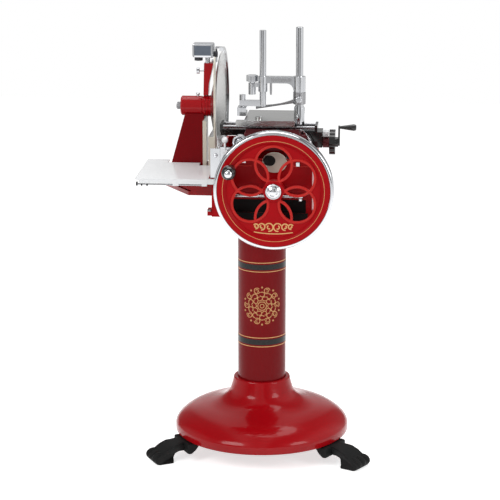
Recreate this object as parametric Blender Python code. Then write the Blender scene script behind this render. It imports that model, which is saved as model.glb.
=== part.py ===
"""Hand crank meat slicer on a pedestal, one object for each physical piece.

Metres, +Z up. Pieces are modelled about the pedestal's axis, with X along the blade's shaft and -Y
towards the operator, and one empty then shifts them all so that the origin is under the middle of
the whole machine, on the floor.
"""

from math import acos, atan2, cos, hypot, pi, radians, sin, sqrt, tau

import bmesh
import bpy
from mathutils import Matrix, Vector

# Fits and mesh settings
SEAT = 0.0003  # gap between two pieces that touch
RUN = 0.0003  # radial clearance of a shaft in its bore
OVERRUN = 0.002  # how far a cutter passes through a wall
WELD = 0.00001
ROUND_STEPS = 20
FINE_STEPS = 36
SMALL_STEPS = 12
SMOOTH_ANGLE = radians(35)
EDGE_SEGMENTS = 2

# Pedestal base
RIM_RADIUS = 0.297
RIM_BOTTOM = 0.068
RIM_HEIGHT = 0.031
RIM_LIP = 0.006
RIM_FLANGE = 0.048
BELL_HEIGHT = 0.190
NECK_WALL = 0.015
NECK_SPREAD = 0.004
NECK_HEIGHT = 0.022
BASE_WALL = 0.008
SOCKET_DEPTH = 0.014
# radius from neck to rim against height from rim to neck
FLARE_SHARES = (
    (0.00, 1.00), (0.037, 0.83), (0.075, 0.74), (0.13, 0.655), (0.215, 0.575), (0.37, 0.49),
    (0.55, 0.415), (0.71, 0.335), (0.82, 0.25), (0.90, 0.165), (0.96, 0.08), (1.00, 0.00),
)

# Column
COLUMN_RADIUS = 0.082
COLUMN_WALL = 0.012
COLUMN_HEIGHT = 0.588  # above the neck
HEAD_OVERHANG = 0.026
HEAD_THICKNESS = 0.0134

# Feet
FOOT_ANGLES = {"foot_right": radians(-30), "foot_rear": radians(90), "foot_left": radians(210)}
FOOT_OVERHANG = 0.121  # beyond the rim
FOOT_UNDERLAP = 0.042  # inside the rim
FOOT_WIDTH = 0.050
TOE_SPREAD = 0.018
TOE_START_SHARE = 0.54
SHOULDER_SPREAD = 0.037
FOOT_EDGE = 0.006
# side view: share of the foot's length from its heel, share of its height
FOOT_SHARES = (
    (0.05, 1.00), (0.39, 1.00), (0.56, 0.89), (0.70, 0.77), (0.85, 0.53), (0.95, 0.42), (1.00, 0.25),
    (0.96, 0.06), (0.88, 0.00), (0.56, 0.00), (0.53, 0.24), (0.49, 0.42), (0.40, 0.49), (0.20, 0.50),
    (0.09, 0.78),
)
SHOULDER_SHARES = ((0.02, 1.00), (0.31, 1.00), (0.31, 0.47), (0.22, 0.44), (0.12, 0.62), (0.04, 0.86))

# Machine base
BASE_WIDTH = 0.330
BASE_DEPTH = 0.400
BASE_HEIGHT = 0.196
BASE_OFFSET = 0.015  # of its middle from the column's axis
CASTING_WALL = 0.008
RECESS_DEPTH = 0.012
RECESS_GAP = 0.009  # in front of the blade's edge
SHAFT_COVER = 0.0095  # from the cross shaft's axis up to the recess's floor
LUG_WIDTH = 0.036
LUG_REACH = 0.016
LUG_HEIGHT = 0.020
LUG_INSET = 0.014
WINDOW_SILL = 0.016
WINDOW_GAP = 0.012  # below the front rail's axis
WINDOW_BAR = 0.038  # between the two windows, under the wheel's shaft
WINDOW_LEFT_INSET = 0.065
WINDOW_RIGHT_INSET = 0.020
PEDESTAL_BLOCK_HALF = 0.036
FRONT_RAIL_GAP = 0.011  # below the shaft's bearing boss
FRONT_RAIL_RADIUS = 0.005
FRONT_RAIL_STAND = 0.008
FRONT_RAIL_LEFT_INSET = 0.075
FRONT_RAIL_RIGHT_INSET = 0.030
FRONT_RAIL_POST_INSET = 0.020
EYE_GAP = 0.052  # right of the dial's bracket
EYE_DROP = 0.010  # its middle below the base's top
EYE_HALF = (0.041, 0.034)
EYE_HOLE_SHIFT = (-0.017, 0.006)
EYE_HOLE_HALF = (0.020, 0.018)
EYE_THICKNESS = 0.005

# Flywheel
WHEEL_DROP = 0.090  # its axis below the base's top
WHEEL_GAP = 0.004
WHEEL_WIDTH = 0.044
WHEEL_RADIUS = 0.184
WHEEL_RING_THICKNESS = 0.012
WHEEL_RING_INSET = 0.004
RIM_BAND = 0.022
WEB_THICKNESS = 0.010
WEB_INSET = 0.010
HUB_RADIUS = 0.034
HUB_INSET = 0.003
CAP_RADIUS = 0.026
CAP_HEIGHT = 0.013
ROSETTE_RIB = 0.0045
ROSETTE_MARGIN = 0.0005
ROSETTE_OFFSET_SHARE = 0.59864
ROSETTE_RING_COUNT = 6
CLOSED_SECTOR_ANGLE = radians(270)
ARC_STEPS = 6
SHAFT_RADIUS = 0.012
BUSH_RADIUS = 0.021
BUSH_REACH = 0.036
GRIP_INSET = 0.028  # from the wheel's edge
GRIP_ANGLE = radians(153)
GRIP_PIN_RADIUS = 0.006
GRIP_RADIUS = 0.0235
GRIP_LENGTH = 0.074
GRIP_CAP_RADIUS = 0.010
GRIP_CAP_HEIGHT = 0.004
# radius share, length share from the wheel to the tip
GRIP_SHARES = (
    (0.62, 0.00), (0.72, 0.05), (0.66, 0.12), (0.80, 0.30), (0.96, 0.52), (1.00, 0.70), (0.93, 0.87),
    (0.74, 0.97), (0.56, 1.00),
)

# Drive inside the base
CROSS_INSET = 0.100  # from the base's back
CROSS_RADIUS = 0.007
BEVEL_RADIUS = 0.030
BEVEL_TEETH = 24
BEVEL_ADDENDUM = 0.0015
BEVEL_DEDENDUM = 0.0024
BEVEL_FACE_SHARE = 0.72
TOOTH_TIP_SHARE = 0.16
TOOTH_ROOT_SHARE = 0.58
BEVEL_BACK = 0.006
CRANK_GAP = 0.0137  # right of the cross shaft's block
CRANK_THICKNESS = 0.012
CRANK_EYE = 0.017
CRANK_PIN_RADIUS = 0.007
ROD_THICKNESS = 0.012
ROD_GAP = 0.001
ROD_HEADROOM = 0.0045  # between its eye and the carriage
ROD_EYE = 0.013
ROD_WAIST = 0.008
CHAIN_PITCH = 0.00635
LOWER_TEETH = 36
UPPER_TEETH = 15
CHAIN_HALF = 0.0014
CHAIN_WIDTH = 0.005
CHAIN_INSET = 0.042  # left of the pillar's right side
SPROCKET_WIDTH = 0.004
SPROCKET_HUB = 0.014
UPPER_HUB = 0.0122
SPROCKET_HUB_LENGTH = 0.012

# Side arm and pillar
ARM_DROP = 0.055  # its underside below the cross shaft's axis
ARM_THICKNESS = 0.0135
ARM_BACK_REACH = 0.051
ARM_FRONT_REACH = 0.210
ARM_CORNER_CUT = (0.094, 0.146)  # off its front left corner, along x and y
ARM_SHELF_DROP = 0.001
ARM_SHELF_INSET = 0.031
ARM_SHELF_GAP = 0.002
ARM_SHELF_FOOT_REACH = 0.065
PILLAR_INSET = 0.022  # left of the housing's right end
PILLAR_FOOT_WIDTH = 0.128
PILLAR_TOP_WIDTH = 0.063
PILLAR_HALF_FOOT = 0.049
PILLAR_HALF_TOP = 0.029
PILLAR_TOP_DROP = 0.014  # below the blade's axis
PILLAR_WALL = 0.006
PILLAR_EDGE = 0.004

# Blade and its guards
HOUSING_GAP = 0.0005
HOUSING_LENGTH = 0.103
HOUSING_RADIUS = 0.0335
HOUSING_WALL = 0.006
HOUSING_FLANGE_LENGTH = 0.026
HOUSING_FLANGE_STEP = 0.003
BLADE_SHAFT_TIP = 0.016
BLADE_SHAFT_RADIUS = 0.010
NUT_RADIUS = 0.0135
NUT_LENGTH = 0.013
BLADE_RADIUS = 0.186
BLADE_RIM_INSET = 0.004  # into the base's recess
BLADE_DISH = 0.0315
BLADE_HUB_RADIUS = 0.045
BLADE_THICKNESS = 0.003
BLADE_BEVEL = 0.006
BLADE_BOSS_RADIUS = 0.026
BLADE_BOSS = 0.010
DEFLECTOR_THICKNESS = 0.0025
DEFLECTOR_FLANGE_WIDTH = 0.0127
DEFLECTOR_FRONT_REACH = 0.080
DEFLECTOR_BACK_REACH = 0.072
DEFLECTOR_DROP = 0.039
SHIELD_GAP = 0.005
SHIELD_THICKNESS = 0.0025
SHIELD_FLANGE_WIDTH = 0.019
SHIELD_FRONT_REACH = 0.094
SHIELD_BACK_REACH = 0.090
SHIELD_DROP = 0.090
GUARD_GAP = 0.003
GUARD_LIFT = 0.0005
GUARD_THICKNESS = 0.012
GUARD_WIDTH = 0.0135
GUARD_SIDE_GAP = 0.0015
GUARD_FROM = radians(-97)
GUARD_TO = radians(93)
GUARD_STEPS = 28
GUARD_FOOT = 0.024
GUARD_FOOT_REACH = 0.022
GUARD_FOOT_HEIGHT = 0.008
UPPER_ARM_FOOT_SHIFTS = (-0.0255, -0.009)  # from the housing's right end
UPPER_ARM_HEAD_SHIFTS = (-0.023, 0.0085)
UPPER_ARM_STAND = 0.002
UPPER_ARM_DROP = 0.038  # below the blade's edge
UPPER_ARM_FRONT_REACH = 0.018
UPPER_ARM_BACK_REACH = 0.020
UPPER_ARM_WAIST_SHARE = 0.35
HANGER_DEPTH = 0.012
HANGER_REACH = 0.031
HANGER_STEM_REACH = 0.012
HANGER_STEM_WIDTH = 0.006
HANGER_FOOT = 0.008
COVER_SCREW_DROP = 0.029
COVER_SCREW_RADIUS = 0.011
COVER_SCREW_HEAD = 0.010
COVER_SCREW_STEM = 0.003
COVER_SCREW_REACH = 0.016
GAUGE_THICKNESS = 0.004
GAUGE_GAP = 0.0025
GAUGE_WIDTH = 0.0395
GAUGE_RISE = 0.009  # above the blade's edge
GAUGE_CORNER = 0.018
GAUGE_FOOT_REACH = 0.018
GAUGE_FOOT_HEIGHT = 0.0077

# Sharpener
SHARP_WIDTH = 0.072
SHARP_HEIGHT = 0.048
SHARP_FRONT_REACH = 0.040
SHARP_BACK_REACH = 0.006
SHARP_GAP = 0.019  # left of the base's side
SHARP_STAND = 0.021  # above the guard's arm
SHARP_EDGE = 0.006
SHARP_STEM_INSET = 0.023
SHARP_STEM_RADIUS = 0.008
STONE_INSET = 0.019
STONE_SHIFT = 0.017  # in front of the blade's axis
STONE_RADIUS = 0.014
STONE_HEIGHT = 0.011
HONE_RADIUS = 0.010
HONE_LENGTH = 0.011
HONE_RISE = 0.010
HONE_PIN = 0.003

# Receiving tray
TRAY_WIDTH = 0.240
TRAY_GAP = 0.010
TRAY_FRONT_REACH = 0.028
TRAY_HEIGHT = 0.0155
TRAY_WALL = 0.004
TRAY_LIP = 0.016
TRAY_LIP_INSET = 0.014
TRAY_NOTCH_GAP = 0.004  # in front of the pillar
TRAY_NOTCH_INSET = 0.006
TRAY_NOTCH_LAP = 0.0115
TRAY_STEP_GAP = 0.003

# Thickness dial and its bracket
DIAL_INSET = 0.019
DIAL_RISE = 0.020
DIAL_RADIUS = 0.0235
DIAL_LENGTH = 0.014
DIAL_RIM = 0.005
DIAL_BOSS = 0.0225
BRACKET_INSET = 0.030
BRACKET_WIDTH = 0.084
BRACKET_HEIGHT = 0.111
BRACKET_RISE = 0.040  # above the base's top
BRACKET_THICKNESS = 0.013
BRACKET_LEG = 0.032  # the narrow lower part at its left
BRACKET_PLATE = 0.051  # the wide upper part's height
BALL_INSET = 0.016
BALL_RADIUS = 0.0105
BALL_RISE = 0.025
BALL_STEM = 0.0035
BALL_PIVOT_DROP = 0.014
BALL_HUB_RADIUS = 0.008
BALL_HUB_LENGTH = 0.009

# Carriage
RAIL_LEFT_INSET = 0.120
RAIL_RIGHT_INSET = 0.086
RAIL_DROP = 0.020  # below the base's top
RAIL_RADIUS = 0.009
CARRIAGE_OVERHANG = 0.025  # left of the left rail
CARRIAGE_RIGHT_INSET = 0.046
CARRIAGE_GAP = 0.0025  # above the base
CARRIAGE_FRONT_REACH = 0.076  # in front of the base's middle
CARRIAGE_BACK_REACH = 0.110
CARRIAGE_HEIGHT = 0.0595
CARRIAGE_EDGE = 0.004
RIDGE_HEIGHT = 0.013
RIDGE_DEPTH = 0.014
BEARING_HALF = 0.016
BEARING_DROP = 0.015
BEARING_INSETS = (0.020, 0.014)
BEARING_LENGTH = 0.030
DRIVE_CLEARANCE = 0.018  # between the lug and the base's wall
DRIVE_LUG_HALF = 0.012
DRIVE_LUG_INSET = 0.016
DRIVE_LUG_GAP = 0.002
DRIVE_LUG_THICKNESS = 0.010
DRIVE_LUG_DROP = 0.007
BEAM_OVERHANG = 0.083
BEAM_HALF = 0.020
BEAM_HEIGHT = 0.019
BLOCK_OVERHANG = 0.069
BLOCK_HALF = 0.038
BLOCK_RISE = 0.007  # its underside above the carriage's
SLIDE_ROD_Y = 0.030
SLIDE_ROD_RISE = 0.0125
SLIDE_ROD_RADIUS = 0.006
SLIDE_ROD_INSET = 0.016
ROD_END_LENGTH = 0.009
ROD_END_MARGIN = 0.010
ROD_END_RISE = 0.009
FEED_RISE = 0.0195  # the screw's axis above the carriage's underside
FEED_SCREW_RADIUS = 0.006
FEED_SCREW_INSET = 0.015
FEED_BOSS_RADIUS = 0.019
FEED_BOSS_LENGTH = 0.0222
FEED_LEFT = 0.044
FEED_RIGHT = 0.033
STOP_KNOB_RADIUS = 0.010
STOP_KNOB_LENGTH = 0.014
STOP_KNOB_STEM = 0.004
STOP_KNOB_REACH = 0.006

# Feed handwheel
HANDWHEEL_RADIUS = 0.043
HANDWHEEL_THICKNESS = 0.020
HANDWHEEL_LOBES = 12
HANDWHEEL_LOBE = 0.0025
HANDWHEEL_HUB = 0.017
HANDWHEEL_HUB_LENGTH = 0.009
FEED_ARM_WIDTH = 0.013
FEED_ARM_THICKNESS = 0.006
FEED_ARM_REACH = 0.050
FEED_GRIP_RADIUS = 0.0115
FEED_GRIP_LENGTH = 0.054
FEED_PIN_RADIUS = 0.0035
# radius share, length share from the arm to the tip
FEED_GRIP_SHARES = (
    (0.42, 0.00), (0.50, 0.12), (0.66, 0.34), (0.86, 0.62), (1.00, 0.84), (0.90, 0.95), (0.60, 1.00),
)

# Meat table
TABLE_INSET = 0.001
TABLE_WIDTH = 0.170
TABLE_DEPTH = 0.220
TABLE_SHIFT = 0.010
TABLE_STAND = 0.0315  # above the slide rods' axes
TABLE_THICKNESS = 0.006
TABLE_RAIL_OVERHANG = 0.025
TABLE_RAIL_DEPTH = 0.008
TABLE_RAIL_DROP = 0.014
TABLE_RAIL_RISE = 0.004
TABLE_NUB_INSET = 0.050
TABLE_NUB_RADIUS = 0.011
TABLE_NUB_RISE = 0.014
SLIDE_INSETS = (0.009, 0.031)
SLIDE_HALF = 0.044
SLIDE_BOSS_RADIUS = 0.0105
NUT_INSET = 0.053
NUT_WIDTH = 0.022
NUT_HALF = 0.010
NUT_DROP = 0.0115
SLOT_GAP = 0.002

# Post, press and clamp
POST_GAP = 0.008
POST_RADIUS = 0.012
POST_HEIGHT = 0.300  # above the table
POST_FOOT_DROP = 0.0195
POST_FOOT_HEIGHT = 0.043
POST_FOOT_RADIUS = 0.018
HEAD_GAP = 0.001
HEAD_HEIGHT = 0.052
HEAD_HUB_RADIUS = 0.020
HEAD_ARM_HALF = 0.011
HEAD_ARM_HEIGHT = 0.022
HEAD_ARM_DROP = 0.001
HEAD_WEB_DROP = 0.022
PRESS_REACH = 0.122
PRESS_RADIUS = 0.011
PRESS_TOP_DROP = 0.012
PRESS_DROP = 0.050
PRESS_SLEEVE_RADIUS = 0.0155
CYLINDER_REACH = 0.036
CYLINDER_RADIUS = 0.0125
CYLINDER_DROP = 0.010
CAP_LOBES = 6
CAP_LOBE = 0.003
CAP_KNOB_RADIUS = 0.0195
CAP_KNOB_HEIGHT = 0.0257
CAP_KNOB_STEM = 0.005
CLAW_HEIGHT = 0.020
CLAW_REACH = 0.078
CLAW_HALF = 0.008
CLAW_STEM_INSET = 0.010
CLAW_STEM = 0.005
CLAW_PLATE_SHIFTS = (-0.016, 0.014)  # from its stem
CLAW_PLATE_RISE = 0.0045
CLAW_PLATE_GAP = 0.002
CLAW_PLATE_HALF = 0.030
CLAW_TEETH = 5
CLAW_NOTCH = 0.008
CLAW_KNOB_RADIUS = 0.0105
CLAW_KNOB_HEIGHT = 0.018
CLAMP_GAP = 0.0005
CLAMP_HEIGHT = 0.0395
CLAMP_RADIUS = 0.021
CLAMP_ARM_Y = 0.034
CLAMP_ARM_HALF = 0.006
CLAMP_ARM_REACH = 0.148
CLAMP_ARM_DROP = 0.046
CLAMP_ARM_DEPTH = 0.012
CLAMP_KNOB_RADIUS = 0.011
CLAMP_KNOB_LENGTH = 0.018
CLAMP_KNOB_STEM = 0.004
CLAMP_KNOB_REACH = 0.006

# Places worked out from the sizes above: pedestal
RIM_TOP = RIM_BOTTOM + RIM_HEIGHT
NECK_TOP = RIM_BOTTOM + BELL_HEIGHT
NECK_RADIUS = COLUMN_RADIUS + NECK_WALL
NECK_FOOT_RADIUS = NECK_RADIUS + NECK_SPREAD
COLUMN_TOP = NECK_TOP + COLUMN_HEIGHT
HEAD_RADIUS = COLUMN_RADIUS + HEAD_OVERHANG
HEAD_TOP = COLUMN_TOP + SEAT + HEAD_THICKNESS
FOOT_REACH = RIM_RADIUS + FOOT_OVERHANG
FOOT_HEEL = RIM_RADIUS - FOOT_UNDERLAP
TOE_WIDTH = FOOT_WIDTH + 2 * TOE_SPREAD
SHOULDER_WIDTH = FOOT_WIDTH + 2 * SHOULDER_SPREAD

# Machine base
BASE_LEFT = BASE_OFFSET - BASE_WIDTH / 2
BASE_RIGHT = BASE_OFFSET + BASE_WIDTH / 2
BASE_FRONT = -BASE_DEPTH / 2
BASE_BACK = BASE_DEPTH / 2
BASE_BOTTOM = HEAD_TOP + SEAT
BASE_TOP = BASE_BOTTOM + BASE_HEIGHT

# Drive, from the base's right wall to the wheel's shaft
DRIVE_LUG_RIGHT = BASE_RIGHT - CASTING_WALL - DRIVE_CLEARANCE
DRIVE_LUG_LEFT = DRIVE_LUG_RIGHT - DRIVE_LUG_THICKNESS
ROD_RIGHT = DRIVE_LUG_LEFT - DRIVE_LUG_GAP
ROD_LEFT = ROD_RIGHT - ROD_THICKNESS
CRANK_RIGHT = ROD_LEFT - ROD_GAP
CRANK_LEFT = CRANK_RIGHT - CRANK_THICKNESS
CROSS_BLOCK_X = CRANK_LEFT - CRANK_GAP - CASTING_WALL
WHEEL_X = CROSS_BLOCK_X - SEAT - BEVEL_BACK - BEVEL_RADIUS
WHEEL_Z = BASE_TOP - WHEEL_DROP
CROSS_Y = BASE_BACK - CROSS_INSET
CROSS_Z = WHEEL_Z
RAIL_X = (BASE_LEFT + RAIL_LEFT_INSET, BASE_RIGHT - RAIL_RIGHT_INSET)
RAIL_Z = BASE_TOP - RAIL_DROP
CARRIAGE_BOTTOM = BASE_TOP + CARRIAGE_GAP
CRANK_THROW = CARRIAGE_BOTTOM - ROD_HEADROOM - ROD_EYE - CROSS_Z
DRIVE_LUG_Y = DRIVE_LUG_INSET - CARRIAGE_FRONT_REACH
ROD_LENGTH = CROSS_Y - DRIVE_LUG_Y
DRIVE_LUG_BOTTOM = CROSS_Z + CRANK_THROW - DRIVE_LUG_DROP
SHAFT_BACK = CROSS_Y - BEVEL_RADIUS * BEVEL_FACE_SHARE + WELD

# Flywheel
BUSH_FRONT = BASE_FRONT - BUSH_REACH
WHEEL_BACK = BUSH_FRONT - WHEEL_GAP
WHEEL_FRONT = WHEEL_BACK - WHEEL_WIDTH
WHEEL_RING_RADIUS = WHEEL_RADIUS + WHEEL_RING_THICKNESS
ROSETTE_REACH = WHEEL_RADIUS - RIM_BAND - WEB_INSET - ROSETTE_MARGIN - ROSETTE_RIB
ROSETTE_OFFSET = ROSETTE_REACH * ROSETTE_OFFSET_SHARE
ROSETTE_RADIUS = ROSETTE_REACH - ROSETTE_OFFSET
GRIP_REACH = WHEEL_RADIUS - GRIP_INSET
GRIP_X = WHEEL_X + GRIP_REACH * cos(GRIP_ANGLE)
GRIP_Z = WHEEL_Z + GRIP_REACH * sin(GRIP_ANGLE)
GRIP_BACK = WHEEL_FRONT - SEAT
GRIP_FRONT = GRIP_BACK - GRIP_LENGTH

# Front fittings and dial
FRONT_RAIL_HEIGHT = WHEEL_Z - BUSH_RADIUS - FRONT_RAIL_GAP
FRONT_RAIL_ENDS = (BASE_LEFT + FRONT_RAIL_LEFT_INSET, BASE_RIGHT - FRONT_RAIL_RIGHT_INSET)
FRONT_RAIL_POSTS = (FRONT_RAIL_ENDS[0] + FRONT_RAIL_POST_INSET, FRONT_RAIL_ENDS[1] - FRONT_RAIL_POST_INSET)
WINDOW_BOTTOM = BASE_BOTTOM + WINDOW_SILL
WINDOW_TOP = FRONT_RAIL_HEIGHT - WINDOW_GAP
WINDOW_LEFT = (BASE_LEFT + WINDOW_LEFT_INSET, WHEEL_X - WINDOW_BAR / 2)
WINDOW_RIGHT = (WHEEL_X + WINDOW_BAR / 2, BASE_RIGHT - WINDOW_RIGHT_INSET)
BRACKET_X = (BASE_LEFT + BRACKET_INSET, BASE_LEFT + BRACKET_INSET + BRACKET_WIDTH)
BRACKET_Z = (BASE_TOP + BRACKET_RISE - BRACKET_HEIGHT, BASE_TOP + BRACKET_RISE)
DIAL_X = BRACKET_X[1] - DIAL_INSET
DIAL_Z = BRACKET_Z[1] + DIAL_RISE
BALL_X = BRACKET_X[0] + BALL_INSET
BALL_Z = BRACKET_Z[1] + BALL_RISE
EYE_CENTRE = (BRACKET_X[1] + EYE_GAP + EYE_HALF[0], BASE_TOP - EYE_DROP)
EYE_HOLE = (EYE_CENTRE[0] + EYE_HOLE_SHIFT[0], EYE_CENTRE[1] + EYE_HOLE_SHIFT[1])

# Blade, its housing, pillar and arm
RECESS_BOTTOM = CROSS_Z + SHAFT_COVER
GUARD_INNER = BLADE_RADIUS + GUARD_GAP
GUARD_OUTER = GUARD_INNER + GUARD_THICKNESS
BLADE_Y = CROSS_Y
BLADE_Z = RECESS_BOTTOM + GUARD_LIFT + GUARD_OUTER
BLADE_FRONT = BLADE_Y - BLADE_RADIUS
BLADE_TOP = BLADE_Z + BLADE_RADIUS
RECESS_FRONT = BLADE_FRONT - RECESS_GAP
BLADE_RIM_X = BASE_LEFT + BLADE_RIM_INSET
BLADE_HUB_X = BLADE_RIM_X - BLADE_DISH
HOUSING_RIGHT = BLADE_HUB_X - BLADE_THICKNESS - HOUSING_GAP
HOUSING_LEFT = HOUSING_RIGHT - HOUSING_LENGTH
HOUSING_FLANGE_LEFT = HOUSING_RIGHT - HOUSING_FLANGE_LENGTH
HOUSING_FLANGE_RADIUS = HOUSING_RADIUS + HOUSING_FLANGE_STEP
BLADE_SHAFT_LEFT = HOUSING_LEFT - BLADE_SHAFT_TIP
PILLAR_RIGHT = HOUSING_RIGHT - PILLAR_INSET
PILLAR_LEFT_FOOT = PILLAR_RIGHT - PILLAR_FOOT_WIDTH
PILLAR_LEFT_TOP = PILLAR_RIGHT - PILLAR_TOP_WIDTH
PILLAR_TOP = BLADE_Z - PILLAR_TOP_DROP
CHAIN_X = PILLAR_RIGHT - CHAIN_INSET
LOWER_RADIUS = CHAIN_PITCH / (2 * sin(pi / LOWER_TEETH))
UPPER_RADIUS = CHAIN_PITCH / (2 * sin(pi / UPPER_TEETH))
ARM_LEFT = PILLAR_LEFT_FOOT
ARM_FRONT = BLADE_Y - ARM_FRONT_REACH
ARM_BACK = BLADE_Y + ARM_BACK_REACH
ARM_CORNER_X = ARM_LEFT + ARM_CORNER_CUT[0]
ARM_CORNER_Y = ARM_FRONT + ARM_CORNER_CUT[1]
ARM_BOTTOM = CROSS_Z - ARM_DROP
ARM_PLATE_TOP = ARM_BOTTOM + ARM_THICKNESS
ARM_BLOCK_TOP = RECESS_BOTTOM
ARM_SHELF_TOP = ARM_BLOCK_TOP - ARM_SHELF_DROP
ARM_SHELF_LEFT = ARM_LEFT + ARM_SHELF_INSET
ARM_SHELF_FOOT = BASE_LEFT - ARM_SHELF_FOOT_REACH
TRAY_NOTCH_Y = BLADE_Y - PILLAR_HALF_FOOT - TRAY_NOTCH_GAP
ARM_SHELF_BACK = TRAY_NOTCH_Y - ARM_SHELF_GAP

# Plates, guard and gauge plate beside the blade
DEFLECTOR_FLANGE = PILLAR_RIGHT + SEAT + DEFLECTOR_FLANGE_WIDTH
DEFLECTOR_Y = (BLADE_Y - DEFLECTOR_FRONT_REACH, BLADE_Y + DEFLECTOR_BACK_REACH)
DEFLECTOR_TOP = BLADE_Z - DEFLECTOR_DROP
SHIELD_X = BLADE_HUB_X - SHIELD_GAP
SHIELD_FLANGE = SHIELD_X + SHIELD_FLANGE_WIDTH
SHIELD_Y = (BLADE_Y - SHIELD_FRONT_REACH, BLADE_Y + SHIELD_BACK_REACH)
SHIELD_TOP = BLADE_Z - SHIELD_DROP
GUARD_RIGHT = BASE_LEFT + RECESS_DEPTH - GUARD_SIDE_GAP
GUARD_X = (GUARD_RIGHT - GUARD_WIDTH, GUARD_RIGHT)
GUARD_FOOT_LEFT = BASE_LEFT - GUARD_FOOT_REACH
UPPER_ARM_FOOT = tuple(HOUSING_RIGHT + shift for shift in UPPER_ARM_FOOT_SHIFTS)
UPPER_ARM_HEAD = tuple(HOUSING_RIGHT + shift for shift in UPPER_ARM_HEAD_SHIFTS)
UPPER_ARM_BOTTOM = BLADE_Z + HOUSING_FLANGE_RADIUS + UPPER_ARM_STAND
UPPER_ARM_TOP = BLADE_TOP - UPPER_ARM_DROP
UPPER_ARM_Y = (BLADE_Y - UPPER_ARM_FRONT_REACH, BLADE_Y + UPPER_ARM_BACK_REACH)
HANGER_Y = (UPPER_ARM_Y[1] - HANGER_DEPTH, UPPER_ARM_Y[1])
HANGER_LEFT = BASE_LEFT - HANGER_REACH
HANGER_STEM = (BASE_LEFT - HANGER_STEM_REACH - HANGER_STEM_WIDTH, BASE_LEFT - HANGER_STEM_REACH)
COVER_SCREW_Z = UPPER_ARM_TOP - COVER_SCREW_DROP
GAUGE_X = (BASE_LEFT, BASE_LEFT + GAUGE_THICKNESS)
GAUGE_BACK = BLADE_FRONT - GAUGE_GAP
GAUGE_Y = (GAUGE_BACK - GAUGE_WIDTH, GAUGE_BACK)
GAUGE_BOTTOM = BASE_TOP + SEAT
GAUGE_TOP = BLADE_TOP + GAUGE_RISE
GAUGE_FOOT_RIGHT = BASE_LEFT + GAUGE_FOOT_REACH
GAUGE_FOOT_TOP = GAUGE_BOTTOM + GAUGE_FOOT_HEIGHT

# Sharpener and tray
SHARP_X = (BASE_LEFT - SHARP_GAP - SHARP_WIDTH, BASE_LEFT - SHARP_GAP)
SHARP_Y = (BLADE_Y - SHARP_FRONT_REACH, BLADE_Y + SHARP_BACK_REACH)
SHARP_Z = (UPPER_ARM_TOP + SHARP_STAND, UPPER_ARM_TOP + SHARP_STAND + SHARP_HEIGHT)
SHARP_STEM_X = SHARP_X[1] - SHARP_STEM_INSET
STONE_X = SHARP_X[0] + STONE_INSET
STONE_Y = BLADE_Y - STONE_SHIFT
HONE_Z = SHARP_Z[0] + HONE_RISE
TRAY_RIGHT = BASE_LEFT - TRAY_GAP
TRAY_LEFT = TRAY_RIGHT - TRAY_WIDTH
TRAY_FRONT = BASE_FRONT - TRAY_FRONT_REACH
TRAY_BACK = BLADE_Y
TRAY_TOP = ARM_SHELF_TOP + TRAY_HEIGHT
TRAY_LIP_LEFT = TRAY_LEFT + TRAY_LIP_INSET
TRAY_NOTCH = (PILLAR_LEFT_FOOT + TRAY_NOTCH_INSET, PILLAR_RIGHT - TRAY_NOTCH_LAP)
TRAY_STEP_Y = SHIELD_Y[0] - TRAY_STEP_GAP

# Carriage, feed and table
CARRIAGE_X = (RAIL_X[0] - CARRIAGE_OVERHANG, BASE_RIGHT - CARRIAGE_RIGHT_INSET)
CARRIAGE_Y = (-CARRIAGE_FRONT_REACH, CARRIAGE_BACK_REACH)
CARRIAGE_Z = (CARRIAGE_BOTTOM, CARRIAGE_BOTTOM + CARRIAGE_HEIGHT)
RIDGE_TOP = CARRIAGE_Z[1] + RIDGE_HEIGHT
BEARING_BOTTOM = RAIL_Z - BEARING_DROP
BEARING_Y = (
    (CARRIAGE_Y[0] + BEARING_INSETS[0], CARRIAGE_Y[0] + BEARING_INSETS[0] + BEARING_LENGTH),
    (CARRIAGE_Y[1] - BEARING_INSETS[1] - BEARING_LENGTH, CARRIAGE_Y[1] - BEARING_INSETS[1]),
)
BEAM_LEFT = CARRIAGE_X[0] - BEAM_OVERHANG
BEAM_BOTTOM = CARRIAGE_Z[1] - BEAM_HEIGHT
BLOCK_RIGHT = CARRIAGE_X[1] + BLOCK_OVERHANG
BLOCK_BOTTOM = CARRIAGE_BOTTOM + BLOCK_RISE
SLIDE_ROD_Z = CARRIAGE_Z[1] + SLIDE_ROD_RISE
SLIDE_ROD_RIGHT = BLOCK_RIGHT - SLIDE_ROD_INSET
ROD_END_HALF = SLIDE_ROD_Y + ROD_END_MARGIN
ROD_END_TOP = SLIDE_ROD_Z + ROD_END_RISE
FEED_Z = CARRIAGE_BOTTOM + FEED_RISE
FEED_SCREW_LEFT = CARRIAGE_X[0] + FEED_SCREW_INSET
FEED_BOSS_RIGHT = BLOCK_RIGHT + SEAT + FEED_BOSS_LENGTH
HANDWHEEL_LEFT = FEED_BOSS_RIGHT + SEAT
HANDWHEEL_RIGHT = HANDWHEEL_LEFT + HANDWHEEL_THICKNESS
FEED_ARM_LEFT = HANDWHEEL_RIGHT + HANDWHEEL_HUB_LENGTH
FEED_ARM_RIGHT = FEED_ARM_LEFT + FEED_ARM_THICKNESS
FEED_GRIP_LEFT = FEED_ARM_RIGHT + SEAT
FEED_GRIP_RIGHT = FEED_GRIP_LEFT + FEED_GRIP_LENGTH
FEED_GRIP_Z = FEED_Z + FEED_ARM_REACH
STOP_KNOB_X = WHEEL_X
TABLE_X = (CARRIAGE_X[0] + TABLE_INSET, CARRIAGE_X[0] + TABLE_INSET + TABLE_WIDTH)
TABLE_Y = (TABLE_SHIFT - TABLE_DEPTH / 2, TABLE_SHIFT + TABLE_DEPTH / 2)
TABLE_TOP = SLIDE_ROD_Z + TABLE_STAND
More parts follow.
